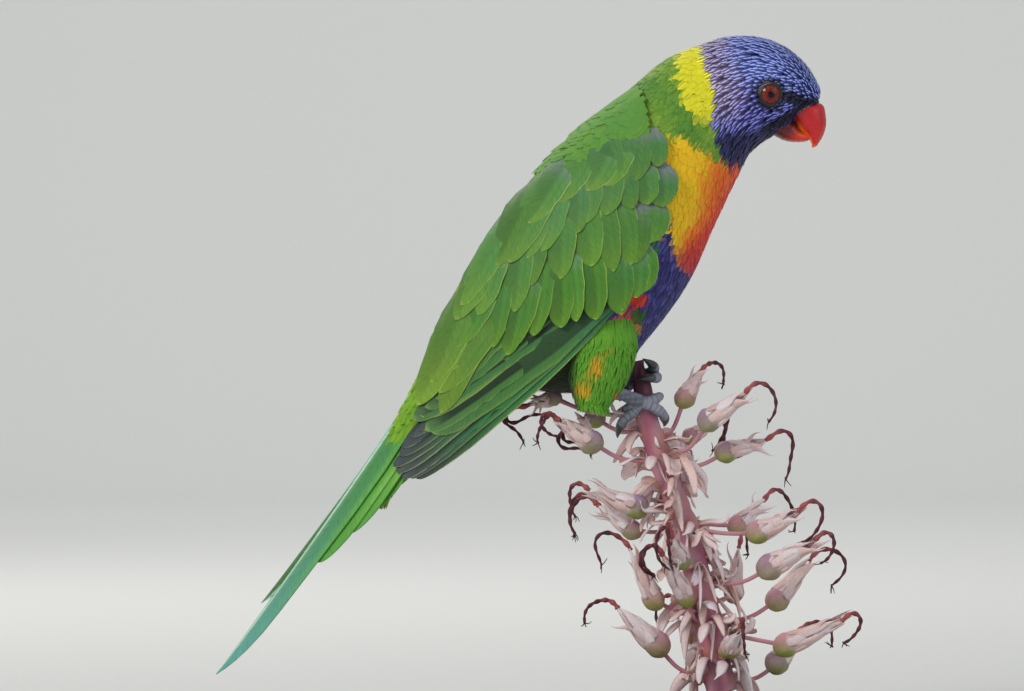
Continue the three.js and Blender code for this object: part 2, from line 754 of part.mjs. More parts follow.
const STALK = { radius: 0.9, sunk: 1.5, sides: 6 };

// How a flower thickens: [place from the pod's middle in pod radii, part of the pod's radius].
const POD_RINGS = [
  [-0.6, 0.8],
  [0, 1],
  [0.7, 0.75],
];

// The dried flower past the pod: [part of the way from the pod to the tip, part of the pod's radius].
const WITHERED_RINGS = [
  [0.3, 0.42],
  [0.7, 0.55],
];
const TIP_RADIUS = 0.5;

function flower([height, angle, podOut, podRise, podRadius, tipOut, tipRise]) {
  const start = besideStem(angle, height, -STALK.sunk);
  const pod = besideStem(angle, height, podOut - stemAt(height).radius).setZ(height + podRise);
  const tip = besideStem(angle, height, tipOut - stemAt(height).radius).setZ(height + tipRise);
  const bend = start.clone().lerp(pod, 0.55).addScaledVector(UP, -1 - podRise / 4);
  const length = start.distanceTo(pod) + pod.distanceTo(tip);
  const podAt = start.distanceTo(pod) / length;
  const reach = podRadius / length;
  const podEnd = podAt + reach * POD_RINGS.at(-1)[0];
  const rings = [
    [0, STALK.radius * 1.5],
    [podAt / 2, STALK.radius],
    [podAt - reach, STALK.radius * 1.1],
    ...POD_RINGS.map(([place, part]) => [podAt + reach * place, podRadius * part]),
    ...WITHERED_RINGS.map(([place, part]) => [lerp(podEnd, 1, place), podRadius * part]),
    [1, TIP_RADIUS],
  ];
  const aside = new THREE.Vector3(-Math.sin(toRadians(angle)), Math.cos(toRadians(angle)), 0);
  return tube([start, bend, pod, tip], rings, aside, { sides: STALK.sides });
}

function stem() {
  const path = STEM.map(([x, y, z]) => new THREE.Vector3(x, y, z));
  const stalk = tube(path, evenly(STEM.map((row) => row[3])), LEFT, { sides: 12 });
  return joined([stalk, ...FLOWERS.map(flower)])
    .trimByPlane([0, 0, 1], STEM_FOOT)
    .subtract(grip());
}

function base() {
  const { radius, height, round } = BASE;
  const profile = [
    [0, 0],
    [radius, 0],
    [radius, height - round],
    [radius - round, height],
    [0, height],
  ].map(([x, y]) => new THREE.Vector2(x, y));
  const geometry = new THREE.LatheGeometry(profile, FACETS.base);
  geometry.rotateX(Math.PI / 2);
  return solidOf(geometry);
}

function rod() {
  const length = STEM_FOOT - BASE.height - 2 * GAP;
  const geometry = new THREE.CylinderGeometry(ROD_RADIUS, ROD_RADIUS, length, FACETS.rod);
  geometry.rotateX(Math.PI / 2);
  geometry.translate(stemAt(STEM_FOOT).x, 0, BASE.height + GAP + length / 2);
  return solidOf(geometry);
}

// The whole model

const model = new THREE.Group();

function addPiece(name, solid, colour, roughness, metalness) {
  model.add(meshOf(name, solid, colour, roughness, metalness));
}

function addBody() {
  addPiece("head", head(), COLOURS.head);
  addPiece("neck", neck(), COLOURS.neck);
  addPiece("torso", torso(), COLOURS.torso);
  addPiece("tail", tail(), COLOURS.tail);
  addPiece("bill_upper", billUpper().subtract(joined(nostrils())), COLOURS.bill, 0.35);
  addPiece("bill_lower", billLower().subtract(billUpper(GAP)), COLOURS.billUnder, 0.35);
}

function addPairs() {
  const leftWing = wing();
  const leftThigh = thigh().subtract(bodyForm(GAP));
  addPiece("wing_left", leftWing, COLOURS.wing);
  addPiece("wing_right", mirrored(leftWing), COLOURS.wing);
  addPiece("eye_left", eyeball(1), COLOURS.eye, 0.05);
  addPiece("eye_right", eyeball(-1), COLOURS.eye, 0.05);
  const thighs = { left: leftThigh, right: mirrored(leftThigh) };
  for (const side of ["left", "right"]) {
    addPiece(`thigh_${side}`, thighs[side].subtract(foot(side, GAP)), COLOURS.thigh);
    addPiece(`foot_${side}`, foot(side), COLOURS.foot, 0.6);
    FEET[side].toes.forEach((_, i) => addPiece(`claw_${side}_${i + 1}`, claw(side, i), COLOURS.claw, 0.4));
  }
}

function addPerch() {
  addPiece("perch_stem", stem(), COLOURS.stem);
  addPiece("stand_base", base(), COLOURS.base, 0.5);
  addPiece("stand_rod", rod(), COLOURS.rod, 0.3, 1);
}

addBody();
addPairs();
addPerch();

export default model;
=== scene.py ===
# The looks of a life-size rainbow lorikeet on a flower stem. Lengths are in millimetres until a mesh is made.
# +X is the way the bird faces, +Y is its left side and +Z is up, as in the frame.

import math

import bpy
import numpy as np
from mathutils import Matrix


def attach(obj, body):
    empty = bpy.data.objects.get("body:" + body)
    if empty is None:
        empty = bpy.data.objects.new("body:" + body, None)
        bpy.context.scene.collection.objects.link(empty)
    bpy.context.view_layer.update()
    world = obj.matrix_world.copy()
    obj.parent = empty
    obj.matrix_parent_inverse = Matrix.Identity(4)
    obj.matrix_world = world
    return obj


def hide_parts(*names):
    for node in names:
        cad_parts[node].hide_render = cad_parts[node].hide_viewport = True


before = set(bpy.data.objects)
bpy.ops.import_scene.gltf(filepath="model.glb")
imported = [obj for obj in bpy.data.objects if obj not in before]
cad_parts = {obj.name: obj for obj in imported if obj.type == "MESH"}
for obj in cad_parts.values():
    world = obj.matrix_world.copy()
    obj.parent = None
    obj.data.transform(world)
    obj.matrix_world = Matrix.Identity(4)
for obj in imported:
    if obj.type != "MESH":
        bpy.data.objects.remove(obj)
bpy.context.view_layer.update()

MM = 0.001
BODY_NAME = "root"
BAKE_PATCH = 0.003  # size of one feather's patch on the bake map

# Forms of the solids. Each row is [back x, back z, front x, front z, half width].
BODY = np.array([
    [-68.2, 137.5, -58.4, 129.2, 6],
    [-59.5, 157.1, -35.0, 123.2, 15],
    [-46.5, 177.8, -8.8, 123.5, 23],
    [-31.5, 197.8, 8.0, 141.0, 28],
    [-12.2, 215.9, 22.0, 160.3, 28],
    [3.1, 229.2, 31.1, 180.2, 24],
    [14.3, 238.3, 38.5, 195.6, 19],
    [25.5, 243.2, 43.8, 205.8, 16],
    [37.4, 246.6, 50.8, 211.2, 16],
    [51.4, 245.2, 56.3, 214.2, 14.2],
    [62.3, 238.0, 61.9, 219.4, 9.6],
    [67.9, 229.2, 66.8, 221.2, 5.5],
    [68.6, 225.4, 68.2, 222.2, 3],
])
WINGS = np.array([
    [8.8, 235.2, 36.0, 188.3, 23.5],
    [-4.9, 224.7, 28.3, 168.7, 29],
    [-23.1, 209.3, 16.8, 150.1, 31.6],
    [-41.6, 191.1, 3.8, 128.1, 29],
    [-55.6, 168.7, -17.5, 114.1, 23.5],
    [-67.2, 147.3, -42.0, 103.6, 16.5],
    [-77.7, 122.8, -63.0, 91.3, 11.5],
    [-84.0, 108.8, -71.8, 84.3, 10],
])
TAIL_ROOT = np.array([
    [-58.0, 150.0, -50.0, 128.0, 11],
    [-65.0, 141.0, -55.0, 121.0, 10.5],
    [-73.5, 125.6, -62.0, 108.0, 8.6],
    [-81.5, 110.0, -71.0, 97.0, 6.0],
    [-86.0, 101.0, -79.0, 91.0, 3.0],
])
THIGH = np.array([
    [-17.0, 150.0, 3.0, 150.0, 7.0],
    [-20.0, 136.0, 4.0, 137.5, 7.0],
    [-19.6, 126.0, 0.5, 126.0, 6.2],
    [-17.5, 119.0, -6.0, 116.8, 4.2],
])
BILL_UPPER = np.array([
    [64.0, 224.0, 56.5, 219.6, 6.2],
    [68.9, 222.6, 59.0, 216.8, 6.2],
    [70.1, 218.5, 60.8, 213.8, 5.6],
    [70.1, 215.0, 63.0, 212.0, 4.5],
    [69.2, 212.0, 64.6, 210.2, 3.2],
    [67.9, 209.6, 65.4, 208.8, 1.8],
    [67.2, 208.1, 65.4, 207.5, 1.2],
])
BILL_LOWER = np.array([
    [56.5, 218.0, 50.5, 213.0, 5.2],
    [59.6, 216.4, 54.6, 210.6, 5.2],
    [61.6, 213.6, 58.4, 209.6, 4.5],
    [64.0, 212.4, 62.0, 209.6, 3.4],
    [65.4, 211.8, 64.2, 210.0, 1.8],
])
WING_SQUARENESS = 2.3  # 2 is an oval section, and more is fuller
BILL_SQUARENESS = 2.2
THIGH_Y = 16.0
EYE = {"x": 50.4, "z": 225.7, "radius": 5.2, "opening": 3.5, "pupil": 1.35, "iris": 3.4}
COAT_DEPTH = 1.3  # how far the skin lies inside the body's plumage
LIMB_COAT_DEPTH = 0.9  # and inside that of the thighs and the tail's root
SKIN_GRAIN = 1.1  # size of the cells that join the skin's parts into one


# Colour

def linear(code):
    """A #rrggbb colour as linear red, green and blue."""
    values = np.array([int(code[i:i + 2], 16) for i in (1, 3, 5)]) / 255
    return np.where(values <= 0.04045, values / 12.92, ((values + 0.055) / 1.055) ** 2.4)


def mix(a, b, amount):
    """From colour a to colour b, with one amount for each row."""
    amount = np.clip(np.asarray(amount, float), 0, 1)[..., None]
    return a * (1 - amount) + b * amount


def smooth(low, high, value):
    """0 below low, 1 above high and an even ease between, also where low is above high."""
    f = np.clip((value - low) / (high - low), 0, 1)
    return f * f * (3 - 2 * f)


PALETTE = {name: linear(code) for name, code in {
    "crown": "#98aaf6",
    "crown_dark": "#3a4890",
    "cheek": "#8488ea",
    "cheek_dark": "#2c2a6c",
    "nape_head": "#b2aada",
    "nape_head_dark": "#62506e",
    "throat": "#2c2e6a",
    "throat_dark": "#15153c",
    "lores": "#0e0e22",
    "collar": "#f0ea2c",
    "collar_dark": "#b8c022",
    "mantle": "#74a636",
    "mantle_dark": "#588c2c",
    "nape": "#5f9634",
    "breast_yellow": "#ffd21c",
    "breast_orange": "#fb8022",
    "breast_red": "#ea4430",
    "breast_rose": "#c8303c",
    "belly": "#3c3a88",
    "belly_light": "#565aa8",
    "belly_dark": "#1d1c48",
    "flank_green": "#2f6a2c",
    "mantle_warm": "#9cb840",
    "vent_deep_shade": "#0c1208",
    "flank_teal": "#3a7a78",
    "vent_shade": "#2a3a18",
    "rump": "#86b82a",
    "rump_dark": "#4a8a22",
    "thigh": "#60ae2c",
    "thigh_dark": "#3a7020",
    "under_wing_shade": "#1e4a22",
    "tail": "#3f9a4c",
}.items()}


# Forms

def rows_at(rows, t):
    """Smooth values between the rows of a table, with t from 0 at the first row to 1 at the last."""
    t = np.asarray(t, float)
    place = np.clip(t, 0, 1) * (len(rows) - 1)
    i = np.minimum(place.astype(int), len(rows) - 2)
    f = (place - i)[..., None]
    a, b, c, d = (rows[np.clip(i + k, 0, len(rows) - 1)] for k in (-1, 0, 1, 2))
    return 0.5 * (2 * b + (c - a) * f + (2 * a - 5 * b + 4 * c - d) * f ** 2 + (3 * b - a - 3 * c + d) * f ** 3)


def turns(sides):
    """Angles of evenly spaced places round a circle."""
    return np.linspace(0, 2 * math.pi, sides + 1)[:-1]


def power(value, squareness):
    return np.sign(value) * np.abs(value) ** (2 / squareness)


class Form:
    """A form on the middle plane with oval sections, or beside it at `y`. Its places are (t, angle)."""

    def __init__(self, rows, squareness=2.0, y=0.0, grow=0.0):
        self.rows = rows
        self.squareness = squareness
        self.y = y
        self.grow = grow

    def point(self, t, angle):
        row = rows_at(self.rows, t)
        back, front, half = row[..., 0:2], row[..., 2:4], row[..., 4] + self.grow
        out = back - front
        out = out / np.maximum(np.linalg.norm(out, axis=-1, keepdims=True), 1e-6)
        back, front = back + out * self.grow, front - out * self.grow
        reach = (0.5 + 0.5 * power(np.cos(angle), self.squareness))[..., None]
        flat = front * (1 - reach) + back * reach
        y = half * power(np.sin(angle), self.squareness) + self.y
        return np.stack([flat[..., 0], y, flat[..., 1]], axis=-1)

    def frame(self, t, angle):
        """Point, outward normal, the steps for one unit of t and for one radian, at each place."""
        t, angle = np.broadcast_arrays(np.asarray(t, float), np.asarray(angle, float))
        step = 2e-3
        inner = np.clip(t, step, 1 - step)
        here = self.point(t, angle)
        by_t = (self.point(inner + step, angle) - self.point(inner - step, angle)) / (2 * step)
        by_angle = (self.point(t, angle + step) - self.point(t, angle - step)) / (2 * step)
        normal = np.cross(by_angle, by_t)
        normal /= np.maximum(np.linalg.norm(normal, axis=-1, keepdims=True), 1e-9)
        return here, normal, by_t, by_angle

    def outward(self):
        """+1 where the normals of `frame` point out, else -1."""
        here, normal, _, _ = self.frame(np.array([0.5]), np.array([0.4]))
        row = rows_at(self.rows, np.array([0.5]))
        middle = np.stack([(row[:, 0] + row[:, 2]) / 2, [self.y], (row[:, 1] + row[:, 3]) / 2], axis=-1)
        return float(np.sign(np.sum((here - middle) * normal)))


def side_place(rows, x, z):
    """The (t, reach) of side-view points: reach is 0 on the front line and 1 on the back line."""
    steps = 96
    samples = np.linspace(0, 1, steps + 1)
    table = rows_at(rows, samples)
    shape = np.shape(x)
    x, z = np.ravel(x), np.ravel(z)
    back, front = table[:, 0:2], table[:, 2:4]
    off = (x[:, None] - front[:, 0]) * (back - front)[:, 1] - (z[:, None] - front[:, 1]) * (back - front)[:, 0]
    crosses = (off[:, :-1] < 0) != (off[:, 1:] < 0)
    first = np.argmax(crosses, axis=1)
    rank = np.arange(len(x))
    before, after = off[rank, first], off[rank, first + 1]
    t = (first + before / np.where(before == after, 1, before - after)) / steps
    t = np.where(crosses.any(axis=1), t, np.where(np.abs(off[:, 0]) < np.abs(off[:, -1]), 0.0, 1.0))
    row = rows_at(rows, t)
    span = row[:, 0:2] - row[:, 2:4]
    reach = ((x - row[:, 2]) * span[:, 0] + (z - row[:, 3]) * span[:, 1]) / np.sum(span ** 2, axis=1)
    return t.reshape(shape), reach.reshape(shape)


def side_depth(rows, x, z, squareness=2.0):
    """How far a form's side stands from the middle plane at side-view points."""
    t, reach = side_place(rows, x, z)
    half = rows_at(rows, t)[..., 4]
    side = np.abs(2 * np.clip(reach, 0.004, 0.996) - 1)
    return half * (1 - side ** squareness) ** (1 / squareness)


def side_frame(rows, x, z, squareness=2.0):
    """Point and outward normal on a form's left side at side-view points."""
    step = 0.5
    depth = side_depth(rows, x, z, squareness)
    slope_x = (side_depth(rows, x + step, z, squareness)
               - side_depth(rows, x - step, z, squareness)) / (2 * step)
    slope_z = (side_depth(rows, x, z + step, squareness)
               - side_depth(rows, x, z - step, squareness)) / (2 * step)
    slope = np.stack([slope_x, slope_z], axis=-1)
    steep = np.linalg.norm(slope, axis=-1, keepdims=True)
    slope = slope * np.minimum(1, 4 / np.maximum(steep, 1e-6))
    normal = np.stack([-slope[..., 0], np.ones_like(depth), -slope[..., 1]], axis=-1)
    normal /= np.linalg.norm(normal, axis=-1, keepdims=True)
    return np.stack([x, depth, z], axis=-1), normal


# Meshes

def add_to_scene(name, data):
    """A new object that holds `data`."""
    thing = bpy.data.objects.new(name, data)
    bpy.context.scene.collection.objects.link(thing)
    return thing


def make_object(name, points, faces, material, colours=None, bake=None, vane=None):
    """A mesh object from millimetre points. `colours`, `bake` and `vane` hold one value for each point."""
    mesh = bpy.data.meshes.new(name)
    face_list = faces if isinstance(faces, list) else faces.tolist()
    mesh.from_pydata((np.asarray(points) * MM).tolist(), [], face_list)
    corners = np.empty(len(mesh.loops), np.int32)
    mesh.loops.foreach_get("vertex_index", corners)
    if colours is not None:
        layer = mesh.color_attributes.new("Plumage", "FLOAT_COLOR", "POINT")
        layer.data.foreach_set("color", np.c_[colours, np.ones(len(colours))].astype(np.float32).ravel())
    for uv_name, values in (("OFBake", bake), ("Vane", vane)):
        if values is not None:
            layer = mesh.uv_layers.new(name=uv_name)
            layer.data.foreach_set("uv", np.asarray(values, np.float32)[corners].ravel())
    mesh.materials.append(material)
    mesh.polygons.foreach_set("use_smooth", np.ones(len(mesh.polygons), bool))
    mesh.update()
    thing = add_to_scene(name, mesh)
    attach(thing, BODY_NAME)
    return thing


def ring_faces(rings, sides):
    """Faces of one closed tube of rings, with flat ends."""
    faces = []
    for ring in range(rings - 1):
        for side in range(sides):
            a, b = ring * sides + side, ring * sides + (side + 1) % sides
            faces.append([a, b, b + sides, a + sides])
    return faces


def blade_section(across):
    """Places round a thin section, across and back, and the face each is on: 1, -1 or 0 at the rims."""
    inner = np.ones(len(across) - 2)
    return np.r_[across, across[-2:0:-1]], np.r_[0, inner, 0, -inner]


def hoop_faces(around, columns):
    """Faces of a closed hoop of sections with `columns` points each."""
    faces = []
    for i in range(around):
        here, beyond = i * columns, (i + 1) % around * columns
        for j in range(columns):
            k = (j + 1) % columns
            faces.append([here + j, here + k, beyond + k, beyond + j])
    return faces


class Blades:
    """Gathers many closed, thin blades with lens-shaped sections, and makes one object of them."""

    def __init__(self, rings, across):
        self.across, self.face = blade_section(across)
        self.rings = rings
        self.sides = len(self.across)
        self.points, self.colours, self.bake, self.vane = [], [], [], []

    def add(self, points, colours, bake, vane):
        """Arrays of shape (blades, rings, sides, 3 or 2)."""
        self.points.append(points)
        self.colours.append(colours)
        self.bake.append(bake)
        self.vane.append(vane)

    def make(self, name, material, slot):
        points = np.concatenate(self.points)
        count = len(points)
        each = self.rings * self.sides
        quads = np.array(ring_faces(self.rings, self.sides))
        lid = np.arange(self.sides)
        starts = (np.arange(count) * each)[:, None]
        faces = (starts[:, :, None] + quads[None]).reshape(-1, 4).tolist()
        faces += (starts + lid[::-1]).tolist()
        faces += (starts + (self.rings - 1) * self.sides + lid).tolist()
        flat = [np.concatenate(values).reshape(-1, values[0].shape[-1]) for values in
                (self.points, self.colours, self.bake, self.vane)]
        thing = make_object(name, flat[0], faces, material, flat[1], flat[2], flat[3])
        turn_out(thing)
        ring = np.arange(self.rings).repeat(self.sides)
        at_end = (ring == 0) | (ring == self.rings - 1)
        sharpen(thing.data, np.tile(self.face == 0, self.rings * count))
        sharpen(thing.data, np.tile(at_end, count))
        return thing


def sharpen(mesh, chosen):
    """Splits the shading along the edges that join two of the chosen points, so that thin blades look flat."""
    ends = np.empty(len(mesh.edges) * 2, np.int32)
    mesh.edges.foreach_get("vertices", ends)
    sharp = np.empty(len(mesh.edges), bool)
    mesh.edges.foreach_get("use_edge_sharp", sharp)
    mesh.edges.foreach_set("use_edge_sharp", sharp | chosen[ends].reshape(-1, 2).all(axis=1))


def turn_out(thing):
    """Turns a closed mesh's faces outwards if its volume comes out negative."""
    mesh = thing.data
    mesh.calc_loop_triangles()
    co = np.empty(len(mesh.vertices) * 3)
    mesh.vertices.foreach_get("co", co)
    tri = np.empty(len(mesh.loop_triangles) * 3, np.int32)
    mesh.loop_triangles.foreach_get("vertices", tri)
    a, b, c = (co.reshape(-1, 3)[tri.reshape(-1, 3)[:, i]] for i in range(3))
    if np.sum(a * np.cross(b, c)) < 0:
        mesh.flip_normals()


# Materials

def new_material(name):
    material = bpy.data.materials.new(name)
    material.use_nodes = True
    nodes, links = material.node_tree.nodes, material.node_tree.links
    return material, nodes, links, nodes["Principled BSDF"]


def set_inputs(node, **values):
    """Sets sockets that the keywords name, with _ for each space."""
    for key, value in values.items():
        node.inputs[key.replace("_", " ")].default_value = value


def maths(nodes, links, operation, *terms):
    """The result of a maths node whose terms are sockets or plain numbers."""
    node = nodes.new("ShaderNodeMath")
    node.operation = operation
    for place, term in enumerate(terms):
        if isinstance(term, float):
            node.inputs[place].default_value = term
        else:
            links.new(term, node.inputs[place])
    return node.outputs[0]


def noise_at(nodes, links, place, scale, detail):
    noise = nodes.new("ShaderNodeTexNoise")
    set_inputs(noise, Scale=scale, Detail=detail)
    links.new(place, noise.inputs["Vector"])
    return noise.outputs["Fac"]


def shade_from(nodes, links, noise, contrast):
    """A brightness round 1 that follows the noise."""
    shade = nodes.new("ShaderNodeMapRange")
    set_inputs(shade, To_Min=1 - contrast, To_Max=1 + contrast)
    links.new(noise, shade.inputs["Value"])
    return shade.outputs[0]


def tint_plumage(nodes, links, shader, strength):
    """The mesh's own colour, made brighter or darker."""
    colour = nodes.new("ShaderNodeVertexColor")
    colour.layer_name = "Plumage"
    tint = nodes.new("ShaderNodeVectorMath")
    tint.operation = "SCALE"
    links.new(colour.outputs["Color"], tint.inputs[0])
    links.new(strength, tint.inputs["Scale"])
    links.new(tint.outputs[0], shader.inputs["Base Color"])


def add_relief(nodes, links, shader, height, strength, distance):
    relief = nodes.new("ShaderNodeBump")
    set_inputs(relief, Strength=strength, Distance=distance)
    links.new(height, relief.inputs["Height"])
    links.new(relief.outputs[0], shader.inputs["Normal"])


def shaft_streak(nodes, links, aside, strength, shaft):
    """A bright line down the middle of each narrow feather: its half width, its rim and both strengths."""
    inner, outer, bright, dull = shaft
    line = nodes.new("ShaderNodeMapRange")
    line.interpolation_type = "SMOOTHSTEP"
    set_inputs(line, From_Min=inner, From_Max=outer, To_Min=bright, To_Max=dull)
    links.new(aside, line.inputs["Value"])
    return maths(nodes, links, "MULTIPLY", line.outputs[0], strength)


BARB_SLANT = -1.3
BARB_STRETCH = 0.12  # how much the barbs' pattern is drawn out along each barb
BARB_HEIGHT = 0.00012  # metres


def feather_material(name, roughness, sheen, barb_scale, bump, contrast, shaft=None):
    """Plumage that takes its colour from the mesh, with fine slanting barbs."""
    material, nodes, links, shader = new_material(name)
    uv = nodes.new("ShaderNodeUVMap")
    uv.uv_map = "Vane"
    split = nodes.new("ShaderNodeSeparateXYZ")
    links.new(uv.outputs[0], split.inputs[0])
    aside = maths(nodes, links, "ABSOLUTE", split.outputs[0])
    slant = maths(nodes, links, "MULTIPLY_ADD", aside, BARB_SLANT, split.outputs[1])
    barbs_at = nodes.new("ShaderNodeCombineXYZ")
    links.new(slant, barbs_at.inputs[0])
    links.new(split.outputs[0], barbs_at.inputs[1])
    stretch = nodes.new("ShaderNodeVectorMath")
    stretch.operation = "MULTIPLY"
    stretch.inputs[1].default_value = (barb_scale, barb_scale * BARB_STRETCH, 1)
    links.new(barbs_at.outputs[0], stretch.inputs[0])
    barbs = noise_at(nodes, links, stretch.outputs[0], 1.0, 3.0)
    strength = shade_from(nodes, links, barbs, contrast)
    if shaft:
        strength = shaft_streak(nodes, links, aside, strength, shaft)
    tint_plumage(nodes, links, shader, strength)
    add_relief(nodes, links, shader, barbs, bump, BARB_HEIGHT)
    set_inputs(shader, Roughness=roughness, Specular_IOR_Level=0.35, Sheen_Weight=sheen, Sheen_Roughness=0.5)
    return material


def spotted_material(name, dark, light, scale, roughness, bump=0.3, metallic=0.0, coat=0.0, stretch=(1, 1, 1)):
    """Two colours mixed by noise, with a matching relief."""
    material, nodes, links, shader = new_material(name)
    place = nodes.new("ShaderNodeTexCoord")
    mapping = nodes.new("ShaderNodeMapping")
    set_inputs(mapping, Scale=stretch)
    links.new(place.outputs["Object"], mapping.inputs[0])
    noise = noise_at(nodes, links, mapping.outputs[0], scale, 4.0)
    ramp = nodes.new("ShaderNodeValToRGB")
    for element, position, code in zip(ramp.color_ramp.elements, (0.35, 0.65), (dark, light)):
        element.position = position
        element.color = (*linear(code), 1)
    links.new(noise, ramp.inputs[0])
    links.new(ramp.outputs[0], shader.inputs["Base Color"])
    add_relief(nodes, links, shader, noise, bump, 0.0002)
    set_inputs(shader, Roughness=roughness, Metallic=metallic, Coat_Weight=coat)
    return material


def painted_material(name, roughness, grain_scale, bump, distance, coat=0.0, subsurface=0.0, specular=0.5):
    """Takes its colour from the mesh, with a fine grained relief."""
    material, nodes, links, shader = new_material(name)
    place = nodes.new("ShaderNodeTexCoord")
    noise = noise_at(nodes, links, place.outputs["Object"], grain_scale, 5.0)
    tint_plumage(nodes, links, shader, shade_from(nodes, links, noise, 0.2))
    add_relief(nodes, links, shader, noise, bump, distance)
    set_inputs(shader, Roughness=roughness, Coat_Weight=coat, Specular_IOR_Level=specular,
               Subsurface_Weight=subsurface, Subsurface_Scale=0.001)
    return material


MATERIALS = {
    "soft": feather_material("soft_feathers", roughness=0.75, sheen=0.1, barb_scale=4.5, bump=0.7,
                             contrast=0.45),
    "hood": feather_material("hood_feathers", roughness=0.6, sheen=0.1, barb_scale=5.0, bump=0.4, contrast=0.25,
                             shaft=(0.08, 0.30, 1.7, 0.62)),
    "vane": feather_material("flight_feathers", roughness=0.6, sheen=0.05, barb_scale=3.4, bump=0.6,
                             contrast=0.6),
    "skin": painted_material("under_plumage", roughness=0.9, grain_scale=900, bump=0.6, distance=0.0003),
    "scales": painted_material("foot_scales", roughness=0.6, grain_scale=2500, bump=0.4, distance=0.0001),
    "claw": painted_material("claw_horn", roughness=0.35, grain_scale=1500, bump=0.15, distance=0.0001,
                             coat=0.3),
    "eye": painted_material("eyeball", roughness=0.04, grain_scale=4000, bump=0.0, distance=0.00001,
                            specular=0.3),
    "lid": painted_material("bare_skin", roughness=0.65, grain_scale=4000, bump=0.4, distance=0.00008),
    "bill": painted_material("bill_horn", roughness=0.34, grain_scale=900, bump=0.08, distance=0.0001, coat=0.15,
                             subsurface=0.15),
    "perch": painted_material("dried_flowers", roughness=0.65, grain_scale=1200, bump=0.5, distance=0.0002,
                              subsurface=0.1),
    "wood": spotted_material("dark_wood", "#2a160c", "#5a3420", scale=60, roughness=0.45, coat=0.3,
                             stretch=(1, 9, 9)),
    "brass": spotted_material("brass", "#8a6a30", "#c8a460", scale=400, roughness=0.3, bump=0.05, metallic=1.0),
}


# Markings

def side_line(x, z, start, end):
    """How far side-view points lie in front of the line from start to end, which runs down."""
    (x0, z0), (x1, z1) = start, end
    length = math.hypot(x1 - x0, z1 - z0)
    return ((x - x0) * (z0 - z1) + (z - z0) * (x1 - x0)) / length


# Edges of the markings in the side view, as heights and the x where the marking begins or ends there.
HOOD_EDGE = np.array([
    [200.0, 36.0], [204.0, 33.6], [208.7, 32.0], [214.0, 30.3], [218.0, 29.9], [225.8, 30.6], [229.6, 30.0],
    [237.3, 27.3], [243.6, 26.3],
])
COLLAR_BACK = np.array([[212.0, 27.5], [215.6, 25.2], [220.0, 22.0], [225.4, 19.3], [233.0, 18.4],
                         [241.2, 18.2]])
BREAST_LEFT = np.array([[163.0, 24.0], [165.5, 21.0], [168.4, 17.9], [181.0, 14.5], [189.4, 12.3], [201.6, 9.5],
                        [212.8, 7.0]])
BREAST_TOP = np.array([[7.0, 212.8], [12.3, 211.4], [22.8, 209.0], [30.5, 204.4], [35.0, 201.2], [41.0, 200.4]])
FRONT_LINE = np.array([[160.0, 22.0], [170.0, 26.0], [180.0, 30.5], [190.0, 34.0], [201.0, 40.0],
                        [212.0, 52.0]])


def ahead_of(table, x, z):
    """How far in x side-view points lie ahead of a marking's edge."""
    return x - np.interp(z, table[:, 0], table[:, 1])


def hood_distance(points):
    return ahead_of(HOOD_EDGE, points[..., 0], points[..., 2])


def spot(x, z, centre, size):
    """1 at the centre of an oval blotch, easing to 0 at its rim."""
    away = np.hypot((x - centre[0]) / size[0], (z - centre[1]) / size[1])
    return smooth(1.15, 0.55, away)


def breast_colours(x, z, jitter):
    """Yellow in the middle, orange and then red towards the throat, the front and the lower tip."""
    p = PALETTE
    left = np.interp(z, BREAST_LEFT[:, 0], BREAST_LEFT[:, 1])
    right = np.interp(z, FRONT_LINE[:, 0], FRONT_LINE[:, 1])
    place = (x - left) / np.maximum(right - left, 2) + 0.10 * jitter
    low = smooth(186, 170, z + 2 * jitter)
    high = smooth(204, 209, z) * smooth(18, 30, x)
    warm = place + 0.45 * low + 0.2 * high
    main = mix(p["breast_yellow"], p["breast_orange"], smooth(0.5, 0.82, warm))
    main = mix(main, p["breast_red"], smooth(0.8, 1.08, warm))
    main = mix(main, p["breast_rose"], smooth(176, 168, z) * 0.8)
    edge = mix(main, p["breast_red"], np.clip(0.1 + 0.3 * warm, 0, 0.4))
    return main, edge


def belly_colours(x, y, z, jitter):
    """Violet, with teal, red and yellow patches where the flank meets the wing."""
    p = PALETTE
    main = mix(p["belly"], p["belly_light"], smooth(0.1, 0.8, jitter + 0.3))
    main = np.broadcast_to(main, x.shape + (3,))
    edge = np.broadcast_to(p["belly_dark"], x.shape + (3,))
    flank = smooth(10, 15, np.abs(y))
    for name, centre, size in FLANK_SPOTS:
        amount = flank * spot(x, z, centre, size)
        main, edge = mix(main, p[name], amount), mix(edge, p[name] * 0.5, amount)
    return main, edge


FLANK_SPOTS = [
    ("breast_yellow", (12.3, 179.0), (1.8, 3.4)),
    ("flank_teal", (10.5, 173.0), (2.2, 3.6)),
    ("breast_rose", (9.2, 167.5), (2.0, 4.2)),
    ("breast_red", (3.8, 154.5), (4.2, 2.6)),
    ("flank_green", (4.6, 149.5), (3.6, 2.8)),
    ("breast_red", (-0.6, 147.6), (4.6, 2.6)),
    ("breast_orange", (5.0, 145.0), (2.2, 1.8)),
    ("thigh", (2.0, 143.0), (5.0, 2.6)),
]


# Dark stripes of the face in the side view: from the eye to the bill, over the bill, and along the gape.
DARK_FACE = [
    ((54.5, 225.6), (63.5, 222.6), 2.6),
    ((63.5, 222.6), (66.0, 223.2), 2.4),
    ((49.5, 213.8), (57.0, 218.2), 2.4),
    ((57.0, 218.2), (62.0, 221.0), 2.2),
]


